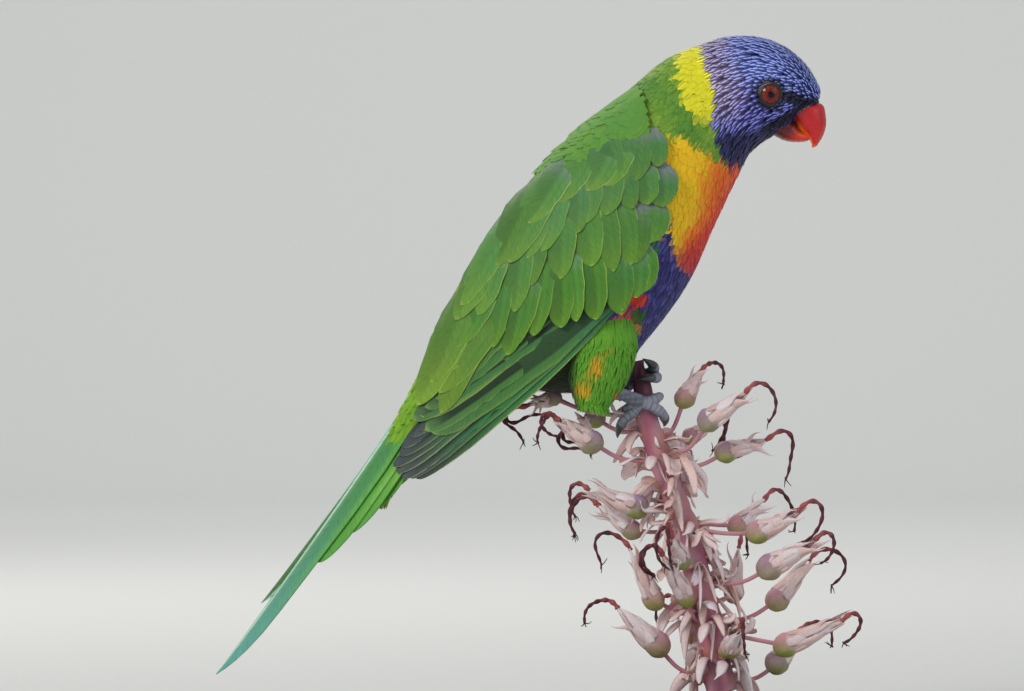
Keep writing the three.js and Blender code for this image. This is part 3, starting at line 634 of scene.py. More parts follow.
def segment_distance(x, z, start, end):
    """Distance of side-view points from a straight segment."""
    run = np.subtract(end, start)
    place = np.clip(((x - start[0]) * run[0] + (z - start[1]) * run[1]) / np.sum(run ** 2), 0, 1)
    return np.hypot(x - start[0] - run[0] * place, z - start[1] - run[1] * place)


def head_colours(x, y, z, ahead):
    """Bright shaft streaks and their dark ground."""
    p = PALETTE
    high = smooth(220, 236, z + 0.25 * (x - 45))
    rear = smooth(15, 3, ahead) * smooth(212, 222, z)
    face, ground = mix(p["cheek"], p["crown"], high), mix(p["cheek_dark"], p["crown_dark"], high)
    face, ground = mix(face, p["nape_head"], rear), mix(ground, p["nape_head_dark"], rear)
    throat = smooth(214.5, 210.5, z - 0.10 * (x - 34))
    face, ground = mix(face, p["throat"], throat), mix(ground, p["throat_dark"], throat)
    dark = smooth(6.6, 5.2, np.hypot(x - EYE["x"], z - EYE["z"])) * 0.8
    for start, end, radius in DARK_FACE:
        dark = np.maximum(dark, smooth(1.0, 0.55, segment_distance(x, z, start, end) / radius))
    return mix(face, p["lores"], dark * 0.92), mix(ground, p["lores"], dark)


def plumage(points, jitter):
    """Colours of the body's feathers where they show: vane, edges, and how streaked."""
    x, y, z = points[..., 0], points[..., 1], points[..., 2]
    p = PALETTE
    ahead = ahead_of(HOOD_EDGE, x, z) + jitter * 0.9
    blotch = 0.5 + 0.5 * np.sin(x * 0.21 + y * 0.3) * np.cos(z * 0.17 - y * 0.22)
    main = mix(p["mantle"], p["nape"], smooth(0.2, 0.9, blotch + 0.5 * jitter))
    main = mix(main, p["mantle_warm"], smooth(0.3, 0.9, 1 - blotch + 0.4 * jitter) * 0.5)
    rump = smooth(-44, -58, x + 0.3 * (180 - z))
    main = mix(main, p["rump"], rump)
    edge = mix(main, mix(p["mantle_dark"], p["rump_dark"], rump), 0.55)
    streak = np.full(x.shape, 0.35)
    # Collar
    back = ahead_of(COLLAR_BACK, x, z) + jitter * 1.2
    collar = smooth(-1.2, 1.2, back) * smooth(213.5, 220.5, z + 1.2 * jitter)
    main, edge = mix(main, p["collar"], collar), mix(edge, mix(p["collar"], p["collar_dark"], 0.35), collar)
    streak = streak * (1 - 0.6 * collar)
    # Belly, and painted shade over the vent
    edge_left = ahead_of(BREAST_LEFT, x, z) + 0.8 * jitter
    low = smooth(-26, -14, x + 0.2 * (z - 130))
    strip = smooth(-4.5, -3.0, edge_left) * smooth(184, 181, z)
    front = smooth(6, 9, x + (z - 180) * 0.55) * smooth(186, 178, z)
    below = np.clip(np.maximum(front, smooth(178, 172, z)) * low + strip, 0, 1)
    violet, violet_edge = belly_colours(x, y, z, jitter)
    main, edge = mix(main, violet, below), mix(edge, violet_edge, below)
    streak = np.maximum(streak, below * 0.6)
    # Painted shade: the vent is painted dark olive to near black, where it lies under the wing's edge and between
    # the thighs.
    vent_shade = smooth(-10, -18, x) * smooth(152, 140, z)
    main, edge = mix(main, p["vent_shade"], vent_shade), mix(edge, p["vent_deep_shade"], vent_shade)
    # Breast
    top = np.interp(x, BREAST_TOP[:, 0], BREAST_TOP[:, 1]) - z + 0.8 * jitter
    in_breast = smooth(-0.8, 0.8, top) * smooth(-0.7, 0.7, edge_left) * smooth(162, 165, z)
    warm, warm_edge = breast_colours(x, z, jitter)
    main, edge = mix(main, warm, in_breast), mix(edge, warm_edge, in_breast)
    streak = streak * (1 - in_breast) + 0.15 * in_breast
    # Head
    head = smooth(-0.5, 0.5, ahead) * smooth(199.6, 201.6, z + 0.8 * jitter)
    face, ground = head_colours(x, y, z, ahead)
    main, edge = mix(main, face, head), mix(edge, ground, head)
    streak = np.maximum(streak, head)
    return main, edge, streak


# Coats of small feathers

def scatter(form, spacing, keep, count, seed):
    """Places on a form where `keep` allows, at least `spacing` apart, which is a number or a function of the
    points: arrays of t and angle."""
    draw = np.random.default_rng(seed)
    cells_each_way = 160
    grid_t, grid_a = np.meshgrid(np.linspace(0.002, 0.998, cells_each_way), turns(cells_each_way), indexing="ij")
    _, _, by_t, by_angle = form.frame(grid_t, grid_a)
    area = np.linalg.norm(np.cross(by_t, by_angle), axis=-1).ravel()
    cells = draw.choice(area.size, count, p=area / area.sum())
    t = np.clip(grid_t.ravel()[cells] + (draw.random(count) - 0.5) / cells_each_way, 0.001, 0.999)
    angle = grid_a.ravel()[cells] + (draw.random(count) - 0.5) * 2 * math.pi / cells_each_way
    points = form.point(t, angle)
    wanted = keep(points, t)
    t, angle, points = t[wanted], angle[wanted], points[wanted]
    gaps = np.broadcast_to(spacing(points) if callable(spacing) else float(spacing), len(points))
    size = float(gaps.max())
    chosen, grid = [], {}
    cell_of = np.floor(points / size).astype(int)
    neighbours = [(i, j, k) for i in (-1, 0, 1) for j in (-1, 0, 1) for k in (-1, 0, 1)]
    for n in range(len(t)):
        cx, cy, cz = cell_of[n]
        px, py, pz = points[n]
        reach = gaps[n] ** 2
        close = False
        for i, j, k in neighbours:
            for ox, oy, oz in grid.get((cx + i, cy + j, cz + k), ()):
                if (px - ox) ** 2 + (py - oy) ** 2 + (pz - oz) ** 2 < reach:
                    close = True
                    break
            if close:
                break
        if not close:
            grid.setdefault((cx, cy, cz), []).append((px, py, pz))
            chosen.append(n)
    return t[chosen], angle[chosen]


SOFT_STATIONS = np.array([0.0, 0.35, 0.65, 0.88, 1.0])
ROUND_TIP = np.array([0.55, 0.95, 1.0, 0.68, 0.07])
NARROW_TIP = np.array([0.6, 1.0, 0.85, 0.5, 0.1])


def lay_coat(name, form, t0, a0, length, width, rise, material, slot, paint, flow=-1, sink=1.1, seed=1,
             thickness=0.12, widths=ROUND_TIP, ruffle=0.07, arch=0.3, vary=0.16):
    """Lays one small feather at each place, along the form towards its tail end (flow -1) or head end (+1).
    `paint(points, jitter)` gives the middle and edge colours and how bright the shaft streak is."""
    draw = np.random.default_rng(seed)
    blades = Blades(len(SOFT_STATIONS), np.array([-1.0, 0.0, 1.0]))
    count = len(t0)
    rise = np.broadcast_to(rise, count)
    jitter = draw.normal(0, 1, count) * 0.5
    length = length * draw.uniform(0.85, 1.15, count)
    width = width * draw.uniform(0.85, 1.15, count)
    sway = draw.normal(0, 0.09, count)
    along = SOFT_STATIONS[None, :, None]
    across = blades.across[None, None, :]
    face = blades.face[None, None, :]
    half = (width / 2)[:, None, None] * widths[None, :, None]
    _, _, by_t, by_angle = form.frame(t0, a0)
    speed_t = np.maximum(np.linalg.norm(by_t, axis=-1), 1)[:, None, None]
    speed_a = np.maximum(np.linalg.norm(by_angle, axis=-1), 1.5)[:, None, None]
    run = length[:, None, None] * along
    t = t0[:, None, None] + flow * run / speed_t
    angle = a0[:, None, None] + (half * across + sway[:, None, None] * run) / speed_a
    before, past = np.maximum(-t, 0) * speed_t, np.maximum(t - 1, 0) * speed_t
    t, angle = np.broadcast_arrays(np.clip(t, 0, 1), angle)
    points, normal, _, _ = form.frame(t, angle)
    normal = normal * form.outward()
    height = -sink + (sink + rise[:, None, None]) * along ** 0.8
    height = height - arch * half * across ** 2 + face * thickness * (1 - 0.7 * along)
    height = height + draw.normal(0, ruffle, count)[:, None, None] * along
    points = points + normal * height[..., None]
    for spill, end, inside in ((before, 0.0, 0.03), (past, 1.0, 0.97)):
        way = form.point(np.full(1, end), np.zeros(1)) - form.point(np.full(1, inside), np.zeros(1))
        points = points + (way / np.linalg.norm(way)) * np.broadcast_to(spill, t.shape)[..., None]
    shown = form.point(np.clip(t0 + flow * 0.7 * length / speed_t[:, 0, 0], 0, 1), a0)
    main, edge, streak = paint(shown, jitter)
    fade = np.abs(across) * (0.25 + 0.75 * streak[:, None, None]) * np.ones_like(along)
    ends = np.maximum(smooth(0.62, 0.3, along) * (0.3 + 0.7 * streak[:, None, None]),
                      smooth(0.86, 1.0, along) * smooth(0.8, 1.0, streak)[:, None, None] * 0.8)
    fade = np.maximum(fade, ends * np.ones_like(fade))
    fade = np.clip(fade, 0, 1)
    colour = mix(main[:, None, None, :], edge[:, None, None, :], np.broadcast_to(fade, t.shape))
    colour = colour * (1 + vary * jitter)[:, None, None, None]
    u0 = np.mod(a0 / (2 * math.pi), 1) * 0.99 + 0.003
    v0 = t0 * 0.99 + 0.003
    bake = np.stack(np.broadcast_arrays(
        u0[:, None, None] + across * BAKE_PATCH / 2, v0[:, None, None] + (along - 0.5) * BAKE_PATCH), axis=-1)
    shift = draw.uniform(0, 50, count)[:, None, None]
    vane = np.stack(np.broadcast_arrays(half * across, run + shift), axis=-1)
    blades.add(points, np.clip(colour, 0, 1), bake, vane)
    return blades.make(name, material, slot)


body_form = Form(BODY)
tail_root_form = Form(TAIL_ROOT)


def wing_mask(x, z):
    """1 inside the outline of the folded wing's arm in the side view."""
    t, reach = side_place(WINGS, x, z)
    front = smooth(-1.0, 1.5, -(x - 9.5 + 0.03 * (z - 190) ** 2 / 10))
    rear = smooth(-60, -54, x)
    below = smooth(0.5, 3.5, side_line(x, z, (-55, 131), (7, 158)))
    above = smooth(0.99, 0.94, reach)
    start = smooth(0.02, 0.14, t)
    return front * rear * below * above * start


def head_coat():
    """The hood's narrow, stiff feathers, each with a bright streak down its shaft."""
    steps = [-2, 6, 20, 36]

    def spacing(points):
        return np.interp(hood_distance(points), steps, [1.3, 1.2, 1.05, 0.75])

    def keep(points, t):
        off_eye = np.hypot(points[:, 0] - EYE["x"], points[:, 2] - EYE["z"]) > 4.2
        return (hood_distance(points) > 2.6) & (points[:, 2] > 202.5) & off_eye & (t < 0.995)

    t, angle = scatter(body_form, spacing, keep, 60000, 11)
    points = body_form.point(t, angle)
    ahead = hood_distance(points)
    length = np.interp(ahead, steps, [3.4, 5.6, 4.8, 2.2])
    near_eye = smooth(9, 4.5, np.hypot(points[:, 0] - EYE["x"], points[:, 2] - EYE["z"]))
    length = length * (1 - 0.5 * near_eye)
    width = np.interp(ahead, steps, [2.2, 2.1, 1.7, 1.1])
    lay_coat("head_feathers", body_form, t, angle, length, width, 0.22, MATERIALS["hood"],
             "head_feathers", plumage, seed=12, sink=0.45, thickness=0.04, widths=NARROW_TIP, ruffle=0.09,
             arch=0.1)


def neck_coat():
    def keep(points, t):
        ahead = hood_distance(points)
        return (points[:, 2] > 196) & (ahead > -26) & ((ahead < 4.0) | (points[:, 2] < 205))

    t, angle = scatter(body_form, 1.35, keep, 40000, 21)
    lay_coat("neck_feathers", body_form, t, angle, 7.0, 3.4, 0.15, MATERIALS["soft"], "collar_feathers", plumage,
             seed=22, sink=0.5, thickness=0.03, ruffle=0.03, arch=0.03, vary=0.06)


def torso_coat():
    def keep(points, t):
        ahead = hood_distance(points)
        mine = (points[:, 2] < 197) | (ahead < -25)
        covered = (wing_mask(points[:, 0], points[:, 2]) > 0.6) & (np.abs(points[:, 1]) > 6)
        return mine & ~covered & (t > 0.004)

    def spacing(points):
        return np.interp(points[:, 0], [-50, -10, 15], [1.9, 1.7, 1.35])

    t, angle = scatter(body_form, spacing, keep, 90000, 31)
    points = body_form.point(t, angle)
    length = np.interp(points[:, 0], [-60, -20, 20], [12.0, 11.0, 8.5])
    width = np.interp(points[:, 0], [-60, -20, 20], [4.4, 4.2, 3.6])
    above = np.cos(angle) > 0
    for name, chosen in (("back", above), ("under", ~above)):
        lay_coat(f"{name}_feathers", body_form, t[chosen], angle[chosen], length[chosen], width[chosen], 0.15,
                 MATERIALS["soft"], "body_feathers", plumage, seed=32, sink=0.6, thickness=0.04, ruffle=0.03,
                 arch=0.04, vary=0.08)


def barb_coat():
    """Loose, hair-fine barbs over the neck and breast, which soften their outline."""
    def keep(points, t):
        ahead = hood_distance(points)
        covered = (wing_mask(points[:, 0], points[:, 2]) > 0.3) & (np.abs(points[:, 1]) > 6)
        return (ahead < 0) & (points[:, 0] > -40) & ~covered & (t > 0.1)

    t, angle = scatter(body_form, 1.4, keep, 60000, 35)
    lay_coat("neck_barbs", body_form, t, angle, 4.5, 0.26, 0.32, MATERIALS["soft"], "collar_feathers", plumage,
             seed=36, sink=0.15, thickness=0.03, widths=NARROW_TIP, ruffle=0.08, vary=0.08)


# Skin

def grid_of(form, rings, sides, inset):
    """Places on a form, set in by `inset`, in rings from its first row to its last."""
    t, angle = np.meshgrid(np.linspace(0, 1, rings), turns(sides), indexing="ij")
    points, normal, _, _ = form.frame(t, angle)
    return points - normal * form.outward() * inset


def closed_faces(rings, sides, start=0):
    faces = ring_faces(rings, sides)
    faces.append(list(range(sides))[::-1])
    faces.append([(rings - 1) * sides + i for i in range(sides)])
    return [[start + i for i in face] for face in faces]


def skin():
    """One skin under the whole coat: body, thighs and tail root, with the sides raised under the wings."""
    rings, sides = 160, 120
    points = grid_of(body_form, rings, sides, COAT_DEPTH)
    raised = wing_mask(points[..., 0], points[..., 2])
    depth = side_depth(WINGS, points[..., 0], points[..., 2], WING_SQUARENESS) - 2.0
    y = points[..., 1]
    points[..., 1] = y + np.sign(y) * np.maximum(depth - np.abs(y), 0) * raised
    soup, faces = [points.reshape(-1, 3)], closed_faces(rings, sides)
    limb_rings = 40
    for limb in (Form(THIGH, y=THIGH_Y), Form(THIGH, y=-THIGH_Y), tail_root_form):
        start = sum(len(part) for part in soup)
        soup.append(grid_of(limb, limb_rings, limb_rings, LIMB_COAT_DEPTH).reshape(-1, 3))
        faces += closed_faces(limb_rings, limb_rings, start)
    rough = bpy.data.meshes.new("skin_parts")
    rough.from_pydata((np.concatenate(soup) * MM).tolist(), [], faces)
    lump = add_to_scene("skin_parts", rough)
    remesh = lump.modifiers.new("one_surface", "REMESH")
    remesh.mode, remesh.voxel_size = "VOXEL", SKIN_GRAIN * MM
    even = lump.modifiers.new("even", "SMOOTH")
    even.iterations = 4
    depsgraph = bpy.context.evaluated_depsgraph_get()
    done = lump.evaluated_get(depsgraph).to_mesh()
    co = np.empty(len(done.vertices) * 3)
    done.vertices.foreach_get("co", co)
    points = co.reshape(-1, 3) / MM
    faces = [list(face.vertices) for face in done.polygons]
    bpy.data.objects.remove(lump)
    bpy.data.meshes.remove(rough)
    main, edge, _ = plumage(points, np.zeros(len(points)))
    # Painted shade: the skin shows through gaps in the coat, so it takes the plumage's colours darkened, dark green
    # under the wings and dark thigh green on the legs.
    colours = mix(edge, main, np.full(len(edge), 0.25)) * 0.8
    raised = wing_mask(points[:, 0], points[:, 2]) * (np.abs(points[:, 1]) > 12)
    colours = mix(colours, PALETTE["under_wing_shade"], raised)
    legs = smooth(14, 16, np.abs(points[:, 1])) * smooth(140, 132, points[:, 2])
    colours = mix(colours, PALETTE["thigh_dark"], legs)
    thing = make_object("skin", points, faces, MATERIALS["skin"], colours)
    turn_out(thing)
    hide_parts("head", "neck", "torso", "thigh_left", "thigh_right")


# Wings

VANE_STATIONS = np.array([0, 0.08, 0.2, 0.34, 0.48, 0.6, 0.7, 0.78, 0.85, 0.905, 0.945, 0.972, 0.99, 1.0])
VANE_ACROSS = np.array([-1, -0.9, -0.5, 0, 0.2, 0.35, 0.5, 0.65, 0.8, 0.9, 0.96, 1])


def covert_width(s):
    tip = np.clip(s - 0.5, 0, 1) / 0.5
    return (0.35 + 0.65 * smooth(0, 0.35, s)) * np.clip(1 - tip ** 2, 0.0006, 1) ** 0.55


def flight_width(s):
    tip = np.clip(s - 0.8, 0, 1) / 0.2
    return (0.5 + 0.5 * smooth(0, 0.35, s)) * np.sqrt(np.clip(1 - tip ** 1.8, 0.0004, 1))


WING_TIERS = [
    {"kind": "primary", "shape": flight_width, "count": 9, "width": 7.2, "lift": -1.0, "tilt": 0.55, "shown": 0.45,
     "roots": [[2.4, 157.1], [-6.8, 158.3], [-15.0, 161.0]],
     "tips": [[-72.5, 91.4], [-78.8, 92.0], [-80.6, 97.0], [-77.5, 103.0], [-72.0, 109.0]]},
    {"kind": "secondary", "shape": flight_width, "count": 9, "width": 10.0, "lift": -0.5, "tilt": 0.5, "shown": 0.4,
     "roots": [[-6.0, 152.3], [-22.8, 156.8], [-36.8, 159.6]],
     "tips": [[-67.0, 108.5], [-73.6, 112.0], [-69.5, 117.5], [-64.2, 124.1], [-60.0, 131.2]]},
    {"kind": "tertial", "shape": covert_width, "count": 5, "width": 13.5, "lift": 0.1, "tilt": 0.4, "shown": 0.1,
     "roots": [[-34.0, 162.0], [-42.0, 168.0], [-50.0, 168.0]],
     "tips": [[-58.0, 127.0], [-66.0, 116.2], [-70.0, 117.0], [-70.5, 124.0]]},
    {"kind": "greater", "shape": covert_width, "count": 12, "width": 10.5, "lift": 0.15, "tilt": 0.45, "shown": 0.2,
     "roots": [[5.2, 176.3], [-8.8, 177.1], [-22.8, 178.8], [-33.2, 177.1], [-43.8, 171.8]],
     "tips": [[6.5, 158.5], [1.0, 151.0], [-6.8, 147.6], [-20.0, 145.3], [-33.6, 140.4], [-43.0, 138.3],
              [-55.3, 137.5]]},
    {"kind": "median", "shape": covert_width, "count": 9, "width": 12.0, "lift": 0.45, "tilt": 0.4, "shown": 0.1,
     "roots": [[8.8, 190.6], [-1.8, 194.8], [-14.0, 198.3], [-22.8, 198.1], [-33.2, 191.1], [-42.0, 180.6]],
     "tips": [[10.0, 172.3], [4.2, 166.5], [-5.0, 165.9], [-15.5, 164.6], [-27.3, 161.4], [-38.8, 153.3],
              [-50.0, 146.6]]},
    {"kind": "lesser", "shape": covert_width, "count": 9, "width": 10.5, "lift": 0.65, "tilt": 0.35, "shown": 0.1,
     "roots": [[9.5, 203.8], [-2.8, 206.3], [-13.0, 206.3], [-23.7, 203.6], [-31.5, 196.1]],
     "tips": [[11.2, 188.6], [4.0, 183.1], [-8.5, 182.1], [-18.2, 174.1], [-30.0, 171.6], [-43.8, 162.0]]},
    {"kind": "marginal", "shape": covert_width, "count": 6, "width": 8.5, "lift": 0.75, "tilt": 0.3, "shown": 0.1,
     "roots": [[9.5, 213.0], [2.0, 216.0], [-8.0, 214.0]],
     "tips": [[11.0, 199.5], [4.0, 196.0], [-6.0, 197.0]]},
    {"kind": "scapular", "shape": covert_width, "count": 8, "width": 11.5, "lift": 0.85, "tilt": 0.3, "shown": 0.1,
     "roots": [[0.8, 216.6], [-12.2, 211.1], [-24.8, 203.8], [-34.0, 192.0]],
     "tips": [[-6.8, 195.1], [-20.2, 187.3], [-36.8, 173.1], [-50.2, 158.8], [-60.1, 147.3]]},
]

# Web, tip, leading rim, root, tucked web (also used as painted shade under the next feather's edge) and underside
# of each kind of feather.
WING_PAINTS = {
    "primary": ("#3f8a44", "#4a4c58", "#c4c878", "#3a7448", "#16242c", "#474450"),
    "secondary": ("#52883c", "#548048", "#93b558", "#4a8450", "#162a1c", "#4e5358"),
    "tertial": ("#64942e", "#7a9e2c", "#a0ba50", "#5a8a48", "#20401a", "#55605a"),
    "greater": ("#549028", "#6a9e28", "#a2c458", "#76908a", "#163420", "#55605a"),
    "median": ("#538934", "#6a9a30", "#98b858", "#8a8f98", "#1a3a20", "#55605a"),
    "lesser": ("#53863e", "#649434", "#8cac58", "#8a8e9a", "#1e3e24", "#55605a"),
    "marginal": ("#52863a", "#608e34", "#7ca64c", "#7f8c88", "#244a28", "#55605a"),
    "scapular": ("#5a9034", "#6c9832", "#a0b868", "#838d94", "#1e3e20", "#55605a"),
}


def vane_colours(tier, along, across, face, draw):
    """Colours down one feather: its green web, tip, pale leading rim, grey root, dark tucked web and underside.
    The web is darkened with painted shade where the next feather's edge lies on it."""
    kind, shown = tier["kind"], tier["shown"]
    web, tip, rim, root, tucked, under = (linear(code) for code in WING_PAINTS[kind])
    blue = draw.uniform(0, 0.25)
    web = web * (1 - blue) + linear("#3c8c5c") * blue
    starts = draw.uniform(0.25, 0.6) if shown < 0.3 else 0.4
    colour = mix(root, web, smooth(0.1, starts, along))
    colour = mix(colour, tip, smooth(0.6, 0.98, along) * 0.9)
    # Painted shade: a dark crevice line where the next feather's edge covers the web, on top of the tucked web's
    # own darker colour.
    covered = smooth(shown + 0.16, shown - 0.04, across) * smooth(1.0, 0.86, along)
    colour = mix(colour, tucked, covered * (draw.uniform(0.1, 0.4) if shown < 0.3 else draw.uniform(0.7, 1.0)))
    bright = draw.uniform(0.5, 1.0)
    rim_from = 0.9 if shown < 0.3 else 0.84
    colour = mix(colour, rim, smooth(rim_from, 0.97, across) * smooth(0.1, 0.4, along) * bright)
    colour = mix(colour, rim, smooth(0.975, 1.0, along) * (kind != "primary") * bright)
    shaft = smooth(0.10, 0.0, np.abs(across - 0.5 - shown / 2)) * smooth(1.0, 0.7, along)
    colour = mix(colour, tucked, shaft * 0.3)
    colour = mix(colour, under, np.where(face < 0, 0.9, 0.0) * np.ones_like(along * across))
    return colour * draw.uniform(0.86, 1.12)


def flat_vane(root, tip, width, shape, bow, draw):
    """Side-view places of one vane, of shape (stations, around)."""
    root, tip = np.array(root, float), np.array(tip, float)
    run = (tip - root) / np.linalg.norm(tip - root)
    aside = np.array([-run[1], run[0]])
    half = width / 2 * shape(VANE_STATIONS)
    half = half * (1 + 0.04 * np.sin(VANE_STATIONS * 23 + draw.uniform(0, 6)))
    bend = bow * np.sin(math.pi * VANE_STATIONS)
    centre = root + (tip - root) * VANE_STATIONS[:, None] + aside * bend[:, None]
    return centre, aside, half


def within_wing(places):
    """Side-view places drawn in from the wing's back line."""
    t, reach = side_place(WINGS, places[..., 0], places[..., 1])
    row = rows_at(WINGS, t)
    over = np.maximum(reach - 0.965, 0)[..., None]
    return places - over * (row[..., 0:2] - row[..., 2:4])


def wing_vane(blades, tier, t, draw):
    around, face = blades.across, blades.face
    stray = 0.5 if tier["shape"] is flight_width else 2.0
    root = rows_at(np.array(tier["roots"]), t) + draw.normal(0, 0.7, 2)
    tip = rows_at(np.array(tier["tips"]), t) + draw.normal(0, stray, 2)
    width = tier["width"] * draw.uniform(0.8, 1.15)
    centre, aside, half = flat_vane(root, tip, width, tier["shape"], draw.normal(0.5, 0.4), draw)
    places = within_wing(centre[:, None, :] + aside * (half[:, None, None] * around[None, :, None]))
    points, normal = side_frame(WINGS, places[..., 0], places[..., 1], WING_SQUARENESS)
    along = VANE_STATIONS[:, None]
    rise = tier["lift"] - 2.2 * smooth(0.5, 0.0, along) + tier["tilt"] * around * (0.4 + 0.6 * along)
    rise = rise - 0.25 * around ** 4 + face * (0.13 * (1 - 0.6 * along)) + draw.normal(0, 0.10)
    points = points + normal * rise[..., None]
    points[..., 1] = np.maximum(points[..., 1], 1.3 + 0.3 * face)
    colours = vane_colours(tier, along * np.ones_like(around), around * np.ones_like(along),
                           face * np.ones_like(along), draw)
    place_t, reach = side_place(WINGS, root[0], root[1])
    middle = np.arccos(np.clip(2 * np.clip(reach, 0, 1) - 1, -1, 1)) / (2 * math.pi)
    bake = np.stack(np.broadcast_arrays(0.02 + 0.96 * middle + around * BAKE_PATCH,
                                        0.02 + 0.9 * place_t + (along - 0.5) * BAKE_PATCH * 3), axis=-1)
    length = np.linalg.norm(tip - root)
    vane = np.stack(np.broadcast_arrays(half[:, None] * around, along * length + draw.uniform(0, 50)), axis=-1)
    blades.add(points[None], np.clip(colours, 0, 1)[None], bake[None], vane[None])


def wing(side):
    """One folded wing; the right one is the left one's mirror image."""
    draw = np.random.default_rng(41)
    blades = Blades(len(VANE_STATIONS), VANE_ACROSS)
    for tier in WING_TIERS:
        for i in range(tier["count"]):
            wing_vane(blades, tier, i / (tier["count"] - 1), draw)
    if side == "right":
        mirror = np.array([1, -1, 1])
        blades.points = [points * mirror for points in blades.points]
        blades.bake = [np.stack([1 - bake[..., 0], bake[..., 1]], axis=-1) for bake in blades.bake]
    thing = blades.make(f"wing_{side}_feathers", MATERIALS["vane"], "wing_feathers")
    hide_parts(f"wing_{side}")


wing_form = Form(WINGS, WING_SQUARENESS)


def shoulder_paint(points, jitter):
    count = len(points)
    light = mix(linear("#6aa238"), linear("#5a963e"), 0.5 + jitter)
    edge = mix(linear("#558c30"), linear("#7fae44"), 0.4 - 0.4 * jitter)
    return light, edge, np.full(count, 0.15)


def shoulder_coat():
    """Small coverts over the wing's bend and the roots of the scapulars."""
    def keep(points, t):
        x, y, z = points[:, 0], points[:, 1], points[:, 2]
        inner = side_depth(BODY, x, z)
        low = np.interp(x, [-60, -40, -22, -4, 12], [186, 199, 207, 210, 205])
        return (np.abs(y) > inner - 2.0) & (z > low) & (x > -36) & (t > 0.01) & (wing_mask(x, z) > 0.05)

    t, angle = scatter(wing_form, 1.8, keep, 50000, 43)
    points = wing_form.point(t, angle)
    away = np.abs(points[:, 1]) - side_depth(BODY, points[:, 0], points[:, 2])
    rise = np.interp(t, [0.0, 0.12, 0.3], [-0.6, 0.3, 0.9]) * smooth(-2.0, 2.0, away) + 0.1
    back = smooth(-10.0, -30.0, points[:, 0])  # the rearmost ones slip under the long scapulars
    rise = rise * (1 - back) - 0.9 * back
    lay_coat("shoulder_feathers", wing_form, t, angle, 11.0, 5.0, rise, MATERIALS["soft"], "wing_feathers",
             shoulder_paint, flow=1, seed=44, sink=0.9, thickness=0.04, ruffle=0.05, arch=0.04, vary=0.08)


# Tail

TAIL = {
    "top": (-63.0, 139.0),
    "tips": [(-143.1, 23.4), (-127.6, 48.5), (-108.0, 63.0), (-97.5, 73.5), (-89.5, 82.0), (-82.5, 90.0)],
    "widths": [10.0, 8.0, 10.0, 10.0, 9.5, 9.0],
    "sag": 0.7,
    "roll": math.radians(50),
    "ridge_gap": 0.3,
    "deepest": 8.0,
    "tuck": 0.5,
    "drop": 0.9,
}
# How the width of the two longest pairs changes from root to tip.
LANCE = np.array([[0, 0.6], [0.25, 1], [0.47, 0.93], [0.63, 0.8],
                  [0.83, 0.67], [0.9, 0.52], [0.96, 0.3], [1, 0.03]])
TAIL_ACROSS = np.array([-1, -0.9, -0.8, -0.72, -0.62, -0.3, 0, 0.35, 0.7, 0.88, 1])
# Web at the root, at the tip, the narrow outer web, the shaft, the lower rim, and the underside.
TAIL_PAINTS = [
    ("#4a904e", "#64a89a", "#8cc8a8", "#dff4e2", "#6cb84c", "#6a8a50"),
    ("#5c9c56", "#98c4ac", "#b4dcb8", "#e6f6e0", "#8cc870", "#6a8a50"),
    ("#52a034", "#5aa63e", "#4a9a34", "#7cc458", "#93d060", "#7a8a40"),
]


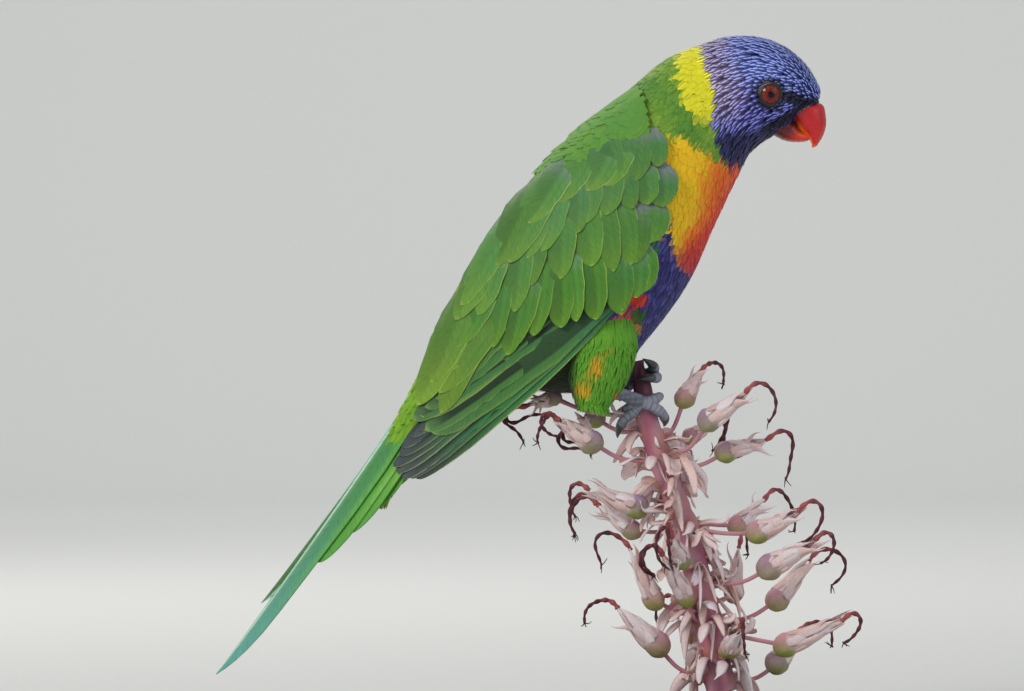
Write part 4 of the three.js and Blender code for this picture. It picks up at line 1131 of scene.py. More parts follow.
def tail_vane(blades, pair, side, draw):
    """One tail feather. Pair 0 lies along the ridge, and each next pair is tucked inside the one before."""
    around, face = blades.across, blades.face
    root, tip, last = (np.array([x, 0, z]) for x, z in (TAIL["top"], TAIL["tips"][pair], TAIL["tips"][0]))
    whole = np.linalg.norm(last - root)
    run = (last - root) / whole
    under = np.array([-run[2], 0, run[0]])
    out = np.array([0.0, side, 0.0])
    cos, sin = math.cos(TAIL["roll"]), math.sin(TAIL["roll"])
    across_way, face_way = out * cos + under * sin, out * sin - under * cos
    along = VANE_STATIONS
    shape = np.interp(along, LANCE[:, 0], LANCE[:, 1]) if pair < 2 else flight_width(along)
    half = TAIL["widths"][pair] / 2 * shape
    sag = TAIL["sag"] * 4 * along * (1 - along)
    hang = half * sin * (1 if pair < 2 else 1 - along) + sag + TAIL["drop"] * pair * (1 - along)
    centre = root + (tip - root) * along[:, None] + under * hang[:, None]
    place = np.clip((centre - root) @ run / whole, 0, 1)
    below = (centre - root) @ under - TAIL["sag"] * 4 * place * (1 - place)
    spread = TAIL["ridge_gap"] + np.clip(below, 0, TAIL["deepest"]) * cos / sin
    centre = centre + out * spread[:, None] - face_way * TAIL["tuck"] * pair
    lift = face * 0.2 * (1 - 0.5 * along[:, None]) - 0.35 * around ** 2 * half[:, None] / 5
    lift = lift + 0.22 * smooth(0.14, 0.0, np.abs(around + 0.72)) * (face > 0) * (1 - 0.6 * along[:, None])
    points = centre[:, None, :] + across_way * (half[:, None] * around)[..., None] + face_way * lift[..., None]
    web, end, narrow, shaft, rim, below_side = (linear(code) for code in TAIL_PAINTS[min(pair, 2)])
    s, u = along[:, None] * np.ones_like(around), around * np.ones_like(along[:, None])
    colours = mix(web, end, smooth(0.35, 1.0, s))
    colours = mix(colours, rim, smooth(0.35, 0.95, u) * smooth(0.9, 0.5, s) * 0.75)
    colours = mix(colours, narrow, smooth(-0.68, -0.78, u))
    colours = mix(colours, shaft, smooth(0.12, 0.02, np.abs(u + 0.72)) * smooth(0.1, 0.3, s) * 0.9)
    colours = mix(colours, below_side, np.where(face < 0, 0.85, 0.0) * np.ones_like(s))
    cell = (0.05 + 0.15 * pair + (0.07 if side > 0 else 0.0), 0.97)
    bake = np.stack(np.broadcast_arrays(
        cell[0] + around * 0.01, cell[1] + (along[:, None] - 0.5) * 0.02), axis=-1)
    vane = np.stack(np.broadcast_arrays(
        half[:, None] * around, along[:, None] * whole + draw.uniform(0, 50)), axis=-1)
    if side < 0:
        points, colours, bake, vane = (value[:, ::-1] for value in (points, colours, bake, vane))
    blades.add(points[None], np.clip(colours, 0, 1)[None], bake[None], vane[None])


def tail():
    draw = np.random.default_rng(51)
    blades = Blades(len(VANE_STATIONS), TAIL_ACROSS)
    for pair in range(len(TAIL["tips"])):
        for side in (1, -1):
            tail_vane(blades, pair, side, draw)
    thing = blades.make("tail_feathers", MATERIALS["vane"], "tail_feathers")
    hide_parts("tail")


def covert_paint(points, jitter):
    """Upper and under tail coverts."""
    x, z = points[:, 0], points[:, 2]
    under = smooth(-1.0, 1.0, side_line(x, z, (-58, 139), (-80, 99)))
    main = mix(PALETTE["rump"], linear("#9aa83a"), under * (0.6 + 0.4 * jitter))
    edge = mix(PALETTE["rump_dark"], linear("#3c6a20"), under)
    return main, edge, np.full(len(points), 0.5)


def tail_covert_coat():
    t, angle = scatter(tail_root_form, 2.4, lambda points, t: t > 0.02, 9000, 53)
    lay_coat("tail_coverts", tail_root_form, t, angle, 13.0, 4.6, 0.4, MATERIALS["soft"], "tail_feathers",
             covert_paint, flow=1, seed=54, sink=1.0)


# Legs

THIGH_SPOTS = [
    ((-10.2, 131.2), (2.6, 4.6), "#dca01c"),
    ((-14.8, 123.4), (3.0, 3.4), "#e6a81a"),
    ((-2.6, 120.8), (1.8, 2.2), "#d8762a"),
    ((-6.6, 136.6), (1.6, 2.0), "#b89a2c"),
]


def thigh_paint(points, jitter):
    x, z = points[:, 0], points[:, 2]
    main = mix(PALETTE["thigh"], linear("#66a028"), 0.5 + 0.6 * jitter)
    for centre, size, code in THIGH_SPOTS:
        main = mix(main, linear(code), spot(x + 1.2 * jitter, z + 2 * jitter, centre, size) * 0.95)
    # Painted shade: the back of the thigh is painted near black where it turns in under the body.
    back = smooth(-15.5, -19.5, x)
    main = mix(main, linear("#101a0c"), back * 0.9)
    edge = mix(PALETTE["thigh_dark"], main, 0.6)
    return main, edge, np.full(len(points), 0.5)


def thigh_coat(side):
    y, seed = {"left": (THIGH_Y, 61), "right": (-THIGH_Y, 62)}[side]
    form = Form(THIGH, y=y)
    t, angle = scatter(form, 0.95, lambda points, t: t > 0.01, 30000, seed)
    length = np.interp(t, [0.0, 0.7, 1.0], [8.5, 7.0, 3.6])
    lay_coat(f"thigh_{side}_feathers", form, t, angle, length, 1.15, 0.3, MATERIALS["soft"], "thigh_feathers",
             thigh_paint, flow=1, seed=63, sink=0.9, thickness=0.05, widths=NARROW_TIP, arch=0.15)


# Middle of the stem and its radius, from the top down.
STEM = np.array([
    [4.2, 0, 133, 3.1],
    [5.6, 0, 126.3, 3.2],
    [7.3, 0, 115.8, 3.4],
    [10.5, 0, 103.6, 3.7],
    [16.4, 0, 87.8, 4.0],
    [22.8, 0, 68.6, 4.3],
    [27.6, 0, 49.3, 4.6],
    [31.1, 0, 31.8, 4.9],
    [34.4, 0, 13.0, 5.1],
])
STEM_FOOT = 16.5


def stem_at(z):
    """Middle and radius of the stem at a height."""
    heights = STEM[::-1, 2]
    return np.interp(z, heights, STEM[::-1, 0]), np.interp(z, heights, STEM[::-1, 3])


def beside_stem(angle, z, off):
    """A point beside the stem: degrees round it (0 ahead, 90 left), a height and a distance off its skin."""
    x, radius = stem_at(z)
    reach = radius + off
    turn = np.radians(angle)
    return np.stack([x + reach * np.cos(turn), reach * np.sin(turn), z * np.ones_like(reach)], axis=-1)


def path_axes(path, up):
    """Two unit ways across a path at each point: `up` made square to the path, and the one beside it."""
    tangent = np.gradient(path, axis=0)
    tangent /= np.linalg.norm(tangent, axis=1, keepdims=True)
    up = np.broadcast_to(np.asarray(up, float), path.shape)
    up = up - tangent * np.sum(up * tangent, axis=1, keepdims=True)
    up = up / np.maximum(np.linalg.norm(up, axis=1, keepdims=True), 1e-6)
    return up, np.cross(tangent, up)


def sweep(path, sides, up, radius, flat=1.0):
    """A tube round a path. `radius` holds (rings, 1) or (rings, sides) values, and `up` is the way of side 0."""
    path = np.asarray(path, float)
    up, aside = path_axes(path, up)
    turn = turns(sides)
    radius = np.broadcast_to(radius, (len(path), sides))
    ring = up[:, None, :] * (np.cos(turn) * radius * flat)[..., None]
    ring = ring + aside[:, None, :] * (np.sin(turn) * radius)[..., None]
    return path[:, None, :] + ring


class Parts:
    """Gathers closed tubes of any size, and makes one object of them."""

    def __init__(self):
        self.points, self.colours, self.faces, self.count = [], [], [], 0

    def add(self, points, colours):
        rings, sides = points.shape[:2]
        flat = points.reshape(-1, 3)
        faces = closed_faces(rings, sides, self.count)
        middle = points[: max(rings // 2, 2)]
        centre = middle.mean(axis=1)
        spin = np.cross(points[0, 1] - centre[0], points[0, 2 % sides] - centre[0])
        if np.dot(spin, centre[1] - centre[0]) > 0:
            faces = [face[::-1] for face in faces]
        self.points.append(flat)
        self.colours.append(np.broadcast_to(colours, (rings, sides, 3)).reshape(-1, 3))
        self.faces += faces
        self.count += len(flat)

    def make(self, name, material, slot):
        return make_object(name, np.concatenate(self.points), self.faces, material,
                           np.clip(np.concatenate(self.colours), 0, 1))


def smooth_path(points, count):
    """A smooth path through a few points."""
    return rows_at(np.asarray(points, float), np.linspace(0, 1, count))


TOE_RADIUS = 2.1
GRIP_GAP = 0.3  # between a toe and the stem
SCUTE_LENGTH, PAD_LENGTH = 1.55, 2.6
FEET = {
    "right": {"palm": (-100, 118.6), "ankle": (-7.5, -15.5, 122.5),
              "toes": [(95, -5.5, 2.4), (80, 2.0, 2.4), (-62, -8.0, 7.0), (-55, -2.5, 4.0)]},
    "left": {"palm": (100, 127.5), "ankle": (-7.5, 15.5, 123.5),
             "toes": [(-150, -0.5, 2.4), (-120, 4.0, 2.4), (50, -5.5, 4.5), (80, -4.5, 3.0)]},
}


def toe_path(foot, toe, start, end, count):
    angle, height = foot["palm"]
    turn, drop, off = toe
    near = TOE_RADIUS + GRIP_GAP
    t = np.linspace(start, end, count)
    away = near + (off - near) * smooth(0.3, 1.0, t) + max(off - near, 0) * np.maximum(t - 1, 0)
    return beside_stem(angle + turn * t, height + drop * np.maximum(t, 0) ** 1.3, away)


def off_stem(path):
    """The way out of the stem at each point of a path."""
    x, _ = stem_at(path[:, 2])
    return np.stack([path[:, 0] - x, path[:, 1], np.zeros(len(path))], axis=-1)


def scaly_tube(parts, path, up, radii, sides=18):
    """A toe or shank: overlapping scutes along the top, rounder pads below."""
    rings = len(path)
    length = np.r_[0, np.cumsum(np.linalg.norm(np.diff(path, axis=0), axis=1))]
    radius = rows_at(np.asarray(radii)[:, None], np.linspace(0, 1, rings))
    turn = turns(sides)
    top = smooth(0.1, 0.8, np.cos(turn))[None, :]
    step = (length / SCUTE_LENGTH) % 1.0
    scute = (step ** 0.7)[:, None]
    pads = np.abs(np.sin(length / PAD_LENGTH))[:, None]
    grain = np.sin(turn * 7 + length[:, None] * 2.1) * np.sin(turn * 5 - length[:, None] * 3.3)
    relief = 1 + top * (0.13 * scute - 0.05) + (1 - top) * (0.10 * pads + 0.04 * grain - 0.06)
    ends = np.ones((rings, 1))
    ends[-1], ends[-2] = 0.45, 0.82
    points = sweep(path, sides, up, radius * relief * ends)
    shade = np.clip(top * smooth(0.0, 0.35, scute) + (1 - top) * (0.45 + 0.3 * grain), 0, 1)
    parts.add(points, mix(linear("#3c404c"), linear("#9499a8"), shade))


def foot(side):
    shape = FEET[side]
    parts = Parts()
    palm = toe_path(shape, shape["toes"][0], 0, 0.001, 2)[0]
    ankle = np.array(shape["ankle"])
    bend = (ankle + palm) / 2 + np.array([0, 0, 0.6])
    shank = smooth_path([ankle, bend, palm], 26)
    scaly_tube(parts, shank, (0, 0, 1.0), [2.3, 2.2, 2.2, 2.5])
    for toe in shape["toes"]:
        path = toe_path(shape, toe, 0, 1, 64)
        scaly_tube(parts, path, off_stem(path), [2.3, 2.1, 1.85, 2.0, 1.75, 1.6])
    thing = parts.make(f"foot_{side}_scales", MATERIALS["scales"], "foot")
    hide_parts(f"foot_{side}")
    for index, toe in enumerate(shape["toes"]):
        claw(side, index, toe)


def claw(side, index, toe):
    """A curved claw that goes on from the end of its toe."""
    rings = 20
    parts = Parts()
    path = toe_path(FEET[side], toe, 0.97, 1.42, rings)
    s = np.linspace(0, 1, rings)[:, None]
    radius = 1.45 * (1 - s ** 1.5) + 0.12
    shade = mix(linear("#4a4a50"), linear("#141416"), s[:, 0])[:, None, :]
    parts.add(sweep(path, 14, off_stem(path), radius, 1.15), shade)
    thing = parts.make(f"claw_{side}_{index + 1}_horn", MATERIALS["claw"], "claw")
    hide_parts(f"claw_{side}_{index + 1}")


# Head

def eye_place():
    """Centre of the left eyeball, the way it looks, and how deep it is set."""
    point, normal = side_frame(BODY, np.array(EYE["x"]), np.array(EYE["z"]))
    depth = math.sqrt(EYE["radius"] ** 2 - EYE["opening"] ** 2) - 0.4
    return point - normal * depth, normal, depth


GAZE = np.array([0.14, 0.98, -0.14])  # the way the left eye looks


def eye_axes(side, lean=1.0):
    """Centre of an eye and its axes, with `lean` 1 along the gaze and 0 square to the head's side."""
    centre, outward, depth = eye_place()
    ahead = outward * (1 - lean) + GAZE * lean
    ahead = ahead / np.linalg.norm(ahead)
    flip = np.array([1, side, 1])
    centre, ahead = centre * flip, ahead * flip
    across = np.cross((0, 0, 1.0), ahead)
    across /= np.linalg.norm(across)
    return centre, ahead, across, np.cross(ahead, across), depth


def rings_about(centre, ahead, across, upward, height, ring, turn):
    """Points at heights along `ahead` and radii `ring` round it."""
    return (centre + ahead * (height * np.ones_like(turn))[..., None]
            + across * (ring * np.cos(turn))[..., None] + upward * (ring * np.sin(turn))[..., None])


def eye(side, name):
    """Eyeball with a dark pupil, a red-brown iris and a black outer ring."""
    centre, ahead, across, upward, _ = eye_axes(side)
    rings, sides = 60, 48
    tilt = np.linspace(0.004, math.pi - 0.02, rings)[:, None]
    turn = turns(sides)[None, :]
    radius = EYE["radius"] * (1 + 0.05 * smooth(0.55, 0.0, tilt))
    ring = radius * np.sin(tilt) * np.ones_like(turn)
    points = rings_about(centre, ahead, across, upward, radius * np.cos(tilt), ring, turn)
    rays = 0.5 + 0.5 * np.sin(turn * 17 + 2 * np.sin(turn * 5))
    iris = mix(linear("#6a201a"), linear("#90382a"), rays * smooth(1.4, 2.6, ring))
    iris = mix(iris, linear("#380f0c"), smooth(EYE["iris"] - 0.6, EYE["iris"], ring))
    colour = mix(linear("#010101"), iris, smooth(EYE["pupil"] - 0.35, EYE["pupil"], ring))
    colour = mix(colour, linear("#0a0809"), smooth(3.35, 3.5, ring))
    colour = np.where((tilt > 1.2)[..., None], linear("#0a0a0c"), colour)
    parts = Parts()
    parts.add(points, colour)
    thing = parts.make(f"eye_{name}_ball", MATERIALS["eye"], "eye")
    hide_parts(f"eye_{name}")


def eyelid(side, name):
    """Bare skin round the eye, with rings of small warts, from the eyeball out to the first feathers."""
    centre, ahead, across, upward, depth = eye_axes(side, 0.5)
    rings, sides = 26, 168
    place = np.linspace(0, 1, rings)[:, None]
    turn = turns(sides)[None, :]
    ring = 3.3 + (1.4 + 0.12 * np.sin(3 * turn + 1) + 0.08 * np.sin(7 * turn)) * place
    ball = np.sqrt(np.maximum(EYE["radius"] ** 2 - np.minimum(ring, 5.1) ** 2, 0))
    folds = 0.05 * np.sin(2 * math.pi * (place * 3.2 + 0.12 * np.sin(5 * turn)))
    lid = 0.34 * np.sin(math.pi * np.clip(place / 0.7, 0, 1)) ** 0.8 + folds * smooth(0.1, 0.3, place)
    grains = np.abs(np.sin(turn * 19 + 1.9 * np.sin(3 * turn) + 5 * place))
    grains = grains * np.abs(np.sin(place * 8 + 1.5 * np.sin(4 * turn)))
    upper_back = smooth(0.55, 0.95, np.cos(turn - math.radians(135)))
    warts = grains * (0.03 + 0.09 * upper_back) * smooth(0.12, 0.4, place) * smooth(1.0, 0.8, place)
    height = np.maximum(ball + 0.1, depth - 0.6 + 0.6 * smooth(1.0, 0.6, place)) + lid + warts
    sunk = np.maximum(height * (1 - place) / 0.4 + (depth - 0.9) * (place - 0.6) / 0.4, 0)
    height = np.where(place > 0.6, sunk, height)
    outer = rings_about(centre, ahead, across, upward, height, ring, turn)
    inner = outer[::-1] - ahead * 0.5
    loop = np.concatenate([outer, inner])
    points = np.swapaxes(loop, 0, 1)
    shade = smooth(0.3, 0.8, grains) * smooth(0.2, 0.45, place)
    # Painted shade and highlight: the troughs of the folds are painted darker than their ridges, and the wart tips
    # are painted pale, most on the upper back side as a painted highlight.
    colour = mix(linear("#161316"), linear("#3c3438"), smooth(-0.03, 0.05, folds))
    colour = mix(colour, linear("#a49a98"), shade * (0.06 + 0.75 * upper_back))
    colour = np.swapaxes(np.concatenate([colour, colour[::-1]]), 0, 1)
    faces = hoop_faces(*points.shape[:2])
    thing = make_object(f"eyelid_{name}", points.reshape(-1, 3), faces, MATERIALS["lid"],
                        np.clip(colour.reshape(-1, 3), 0, 1))
    turn_out(thing)


def bill_part(rows, node, colour_at, swell):
    """One half of the bill, with a blunt tip."""
    rings, sides = 70, 48
    form = Form(rows, BILL_SQUARENESS)
    t, angle = np.meshgrid(np.linspace(0, 1, rings), turns(sides), indexing="ij")
    points, normal, _, _ = form.frame(t, angle)
    normal = normal * form.outward()
    points = points + normal * swell(t, angle)[..., None]
    blunt = 4
    middle = points[-blunt:].mean(axis=1, keepdims=True)
    round_off = np.sqrt(1 - (np.arange(1, blunt + 1) / (blunt + 0.4)) ** 2)[:, None, None]
    points[-blunt:] = middle + (points[-blunt:] - middle) * round_off
    parts = Parts()
    parts.add(points, colour_at(t, angle))
    thing = parts.make(f"{node}_horn", MATERIALS["bill"], "bill" if node == "bill_upper" else "bill_lower")
    turn_out(thing)
    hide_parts(node)


def bill():
    def upper_colour(t, angle):
        red = mix(linear("#c81420"), linear("#e02420"), smooth(0.2, 0.8, t))
        # Painted highlight: the top of the upper mandible is painted a lighter orange-red.
        red = mix(red, linear("#d84030"), smooth(0.6, 1.0, np.cos(angle)) * 0.5)
        edge = smooth(0.62, 0.95, -np.cos(angle)) * smooth(0.16, 0.3, t) * smooth(0.95, 0.75, t)
        colour = mix(red, linear("#ffa630"), edge * 0.9)
        colour = mix(colour, linear("#f27038"), smooth(0.78, 0.98, t) * 0.75)
        return mix(colour, linear("#141014"), smooth(0.06, 0.02, t) * 0.9)

    def upper_swell(t, angle):
        ridge = 0.25 * smooth(0.75, 1.0, np.cos(angle)) * smooth(0.02, 0.2, t) * smooth(1.0, 0.7, t)
        layers = 0.02 * np.sin(t * 70 + 2 * np.sin(angle))
        return ridge + layers * smooth(0.1, 0.3, t)

    def lower_colour(t, angle):
        # Dark maroon at the rear is painted shade under the upper mandible, easing to red-orange towards the tip.
        colour = mix(linear("#6a141a"), linear("#e23a20"), smooth(0.2, 0.65, t))
        edge = smooth(-0.2, 0.8, np.cos(angle)) * smooth(0.35, 0.75, t)
        return mix(colour, linear("#f2602c"), edge * 0.85)

    def lower_swell(t, angle):
        return 0.03 * np.sin(t * 50)

    bill_part(BILL_UPPER, "bill_upper", upper_colour, upper_swell)
    bill_part(BILL_LOWER, "bill_lower", lower_colour, lower_swell)
    cere()
    bristles()


def cere():
    """The dark, soft skin at the root of the bill, with a swelling round each nostril."""
    form = Form(BILL_UPPER, BILL_SQUARENESS)
    rings, sides = 14, 64
    s = np.linspace(0, 1, rings)
    t, angle = np.meshgrid(s * 0.10, turns(sides), indexing="ij")
    points, normal, _, _ = form.frame(t, angle)
    normal = normal * form.outward()
    nostril = 0.75
    near = np.minimum(*(np.hypot(angle - side, (t - 0.06) * 14) for side in (nostril, 2 * math.pi - nostril)))
    swell = 0.3 * np.sin(math.pi * (0.1 + 0.85 * s))[:, None] + 0.5 * smooth(0.7, 0.25, near)
    swell = swell - 1.0 * smooth(0.22, 0.05, near)
    points = points + normal * swell[..., None]
    grain = np.sin(angle * 23 + 3 * np.sin(angle * 5)) * np.sin(t * 300)
    # Painted shade: darker in and round the nostril hollows.
    colour = mix(linear("#08080b"), linear("#1e1a1e"), smooth(0.1, 0.4, near))
    pale = smooth(0.065, 0.095, t) * smooth(0.1, 0.7, grain) * (np.abs(np.sin(angle)) > 0.5)
    colour = mix(colour, linear("#d8d0cc"), pale * 0.8)
    parts = Parts()
    parts.add(points, colour)
    turn_out(parts.make("cere", MATERIALS["lid"], "bill"))


def bristles():
    """Short, dark, curved bristles and pale hair tips where the face meets the bill."""
    draw = np.random.default_rng(67)
    parts = Parts()
    for _ in range(560):
        side = draw.choice([-1.0, 1.0])
        start, end, radius = DARK_FACE[draw.integers(len(DARK_FACE))]
        f = draw.random()
        x = start[0] + (end[0] - start[0]) * f + draw.normal(0, 0.35) * radius
        z = start[1] + (end[1] - start[1]) * f + draw.normal(0, 0.35) * radius
        inner = side_depth(BODY, np.array(x), np.array(z))
        if inner < 1.0:
            continue
        start = np.array([x, side * (inner - 0.3), z])
        way = np.array([-0.55 + draw.normal(0, 0.3), side * 0.55, -0.55 + draw.normal(0, 0.45)])
        length = draw.uniform(0.8, 2.0)
        path = smooth_path([start, start + way * length * 0.5 + np.array([0, side * 0.25, 0]),
                            start + way * length + np.array([0, -side * 0.1, -0.2])], 7)
        pale = draw.random() < 0.04
        shade = linear("#8c88b0") if pale else mix(linear("#07070c"), linear("#23265a"), np.array(draw.random()))
        parts.add(sweep(path, 5, (0.3, 0, 1.0), np.linspace(0.12, 0.04, 7)[:, None]), shade)
    parts.make("face_bristles", MATERIALS["lid"], "head_feathers")


# Perch and stand

# Height on the stem, degrees round it, the pod's way out and up, its radius, and the tip's way out and up.
FLOWERS = [
    (98, 200, 26, 7, 4.2, 38, 14),
    (82, 195, 15, 0, 4.2, 32, 6),
    (74, 165, 19, 0, 3.5, 31, 8),
    (46, 205, 20, 4, 3.8, 29, 21),
    (42, 235, 14, 9, 3.8, 29, 24),
    (23, 190, 22, 11, 4.5, 35, 23),
    (100, -25, 19, 12, 4.2, 33, 22),
    (96, 8, 22, 5, 3.8, 36, 9),
    (102, 50, 19, 4, 3.1, 32, 9),
    (106, 22, 12, 14, 3.6, 18, 23),
    (74, -12, 26, -1, 4.2, 41, 7),
    (77, 35, 24, -2, 3.5, 37, 7),
    (55, -15, 25, 6, 4.5, 42, 16),
    (42, 20, 26, 7, 4.2, 39, 21),
    (38, -22, 28, -4, 4.2, 51, 6),
    (21, 12, 21, 6, 4.2, 28, 16),
    (49, 60, 22, 2, 3.5, 26, 17),
    (84, 80, 20, 6, 3.3, 27, 13),
    (60, -110, 16, 4, 3.6, 27, 12),
    (32, 110, 21, 5, 4.0, 34, 14),
    (30, -75, 17, 3, 3.8, 30, 11),
    (114, 170, 33, 6, 3.0, 41, 4),
    (108, 150, 22, 4.6, 3.0, 27, 3),
]
STALK_RADIUS, STALK_RINGS = 0.9, 22
LEAVES, LEAF_RINGS = 9, 20
LOOSE_BRACT_PLACES = 44
POD_PINK, POD_GREEN, POD_PURPLE = linear("#d0949a"), linear("#8c983c"), linear("#94809f")
LEAF_PALE, LEAF_SALMON, LEAF_BROWN = linear("#f6eaee"), linear("#e6a58e"), linear("#b4684e")


LEAF_THICKNESS = 0.16
LEAF_CUP = -0.45  # how far a leaf's rims bend down, as a share of its half width
LEAF_AROUND, LEAF_FACE = blade_section(np.linspace(-1, 1, 6))


def ribbon(parts, path, up, width, colours):
    """A thin, tapering leaf along a path, cupped across, with one width for each point of the path."""
    up, aside = path_axes(path, up)
    half = (width / 2)[:, None]
    lift = LEAF_FACE * LEAF_THICKNESS / 2 + LEAF_CUP * half * LEAF_AROUND ** 2
    points = path[:, None, :] + aside[:, None, :] * (half * LEAF_AROUND)[..., None]
    points = points + up[:, None, :] * lift[..., None]
    parts.add(points, colours)


def flower(parts, spec, draw):
    """A stalk, a ribbed pod, the dried flower's twisted leaves and its dark, curled styles."""
    height, angle, pod_out, pod_rise, pod_radius, tip_out, tip_rise = spec
    radius = stem_at(height)[1]
    start = beside_stem(angle, height, -1.5)
    pod = beside_stem(angle, height, pod_out - radius)
    tip = beside_stem(angle, height, tip_out - radius)
    pod[2], tip[2] = height + pod_rise, height + tip_rise
    bend = start + (pod - start) * 0.55 + np.array([0, 0, -1 - pod_rise * 0.25])
    turn = np.radians(angle)
    aside = np.array([-math.sin(turn), math.cos(turn), 0])
    # Stalk
    path = smooth_path([start, bend, pod], STALK_RINGS)
    s = np.linspace(0, 1, STALK_RINGS)
    thick = STALK_RADIUS * (1.35 - 0.5 * smooth(0, 0.4, s) + 0.35 * smooth(0.75, 1, s))
    stalk_colour = mix(linear("#b87a8c"), POD_PINK, draw.uniform(0.2, 0.8) + 0.3 * np.sin(s * 5))
    parts.add(sweep(path, 10, aside, thick[:, None]), stalk_colour[:, None, :])
    # Pod with three lobes
    way = tip - pod
    reach = np.linalg.norm(way)
    way = way / reach
    s = np.linspace(0, 1, 24)
    long = draw.uniform(2.2, 2.7)
    path = pod + way * ((s - 0.42) * long * pod_radius)[:, None]
    spin = turns(30)
    lobes = 1 + 0.10 * np.cos(3 * spin + draw.uniform(0, 6)) + 0.03 * np.cos(6 * spin + draw.uniform(0, 6))
    belly = np.sin(math.pi * (0.04 + 0.92 * s ** 0.85)) ** 0.62
    wrinkle = 0.03 * np.sin(spin * 5 + s[:, None] * 7) + 0.02 * np.sin(spin * 11 - s[:, None] * 13)
    points = sweep(path, 30, aside, pod_radius * belly[:, None] * lobes * (1 + wrinkle))
    low = smooth(0.9, -0.9, (points[..., 2] - pod[2]) / pod_radius)
    blush = draw.uniform(0.1, 0.9)
    colour = mix(POD_PURPLE * (1 - blush) + POD_PINK * blush, POD_GREEN, low * draw.uniform(0.6, 1.0))
    colour = mix(colour, LEAF_PALE, smooth(0.55, 0.95, s)[:, None] * 0.6 + 0.8 * wrinkle)
    parts.add(points, colour)
    # Dried leaves of the flower, pressed into a twisted, tapering spindle that still holds the pod
    foot_at = pod + way * pod_radius * 0.45
    upward = np.cross(aside, way)
    s = np.linspace(0, 1, LEAF_RINGS)
    for leaf in range(LEAVES):
        where = leaf * math.pi * 2 / LEAVES * 2 + draw.uniform(-0.25, 0.25)
        twist = where + s * draw.uniform(0.2, 1.2)
        loose = 0.0 if draw.random() < 0.6 else draw.uniform(1.5, 6.0)
        hug = pod_radius * (0.86 * (1 - s) ** 1.5 + 0.30 * np.sin(math.pi * s) + 0.06)
        hug = hug + loose * smooth(0.5, 1.0, s) + 0.25 * np.sin(s * 9 + leaf)
        out = upward[None, :] * np.cos(twist)[:, None] + aside[None, :] * np.sin(twist)[:, None]
        length = reach * draw.uniform(0.72, 1.06)
        path = foot_at + way * (s * length)[:, None] + out * hug[:, None]
        width = pod_radius * (1.15 - 0.45 * s) * (0.6 + 0.4 * np.sin(math.pi * s ** 0.8))
        width = width * smooth(1.03, 0.6, s) + 0.2
        streak = np.abs(LEAF_AROUND)
        tone = mix(LEAF_PALE, LEAF_SALMON, draw.uniform(0, 0.45))
        base = mix(tone, LEAF_BROWN, draw.uniform(0.0, 0.6))
        colour = mix(base, tone, np.clip(s[:, None] * 0.7 + 0.6 * streak - 0.1, 0, 1))
        ribbon(parts, path, out, width, colour)
    # Styles
    styles = 2 if draw.random() < 0.6 else 1
    for _ in range(styles):
        style(parts, foot_at + way * reach * draw.uniform(0.8, 0.98), way, aside, draw)


def style(parts, start, way, aside, draw):
    """A dried, dark crimson thread that arches over and hangs down."""
    n = 34
    outward = way.copy()
    outward[2] = 0
    outward /= max(np.linalg.norm(outward), 1e-6)
    heading = math.atan2(way[2], np.linalg.norm(way[:2]))
    length = draw.uniform(17, 28)
    turn_by = draw.uniform(1.9, 3.3)
    place, path = np.array(start, float), []
    wander = draw.uniform(-0.35, 0.35)
    for i in range(n):
        f = i / (n - 1)
        now = heading - turn_by * smooth(0.12, 0.75, f) + 0.35 * math.sin(f * 9 + heading * 3)
        step = outward * math.cos(now) + np.array([0, 0, math.sin(now)]) + aside * wander * math.sin(f * 5)
        path.append(place.copy())
        place = place + step / np.linalg.norm(step) * length / n
    s = np.linspace(0, 1, n)
    knots = 1 + 0.25 * np.sin(s * 40 + draw.uniform(0, 6))
    radius = (0.9 * (1 - 0.5 * s) * knots)[:, None]
    colour = mix(linear("#b05a5a"), linear("#4a1220"), smooth(0.05, 0.5, s) + 0.2 * np.sin(s * 30))
    parts.add(sweep(path, 8, aside, radius), colour[:, None, :])
    end = np.array(path[-1])
    for _ in range(3):
        drift = draw.normal(0, 1, 3) + np.array([0, 0, -0.8])
        drift /= np.linalg.norm(drift)
        last = end + drift * 2.6 + draw.normal(0, 0.5, 3)
        thread = smooth_path([end - drift * 0.5, end + drift * 1.4, last], 7)
        parts.add(sweep(thread, 5, aside, np.linspace(0.28, 0.1, 7)[:, None]), linear("#3a1018"))


def bracts(parts, draw):
    """Papery bracts and shrivelled buds at the nodes of the stem."""
    nodes = [(height, angle, 5) for height, angle, *_ in FLOWERS]
    nodes += [(draw.uniform(20, 104), draw.uniform(0, 360), 2) for _ in range(LOOSE_BRACT_PLACES)]
    for height, angle, count in nodes:
        for _ in range(count):
            bract(parts, height + draw.uniform(-2, 2), angle + draw.uniform(-60, 60), draw)


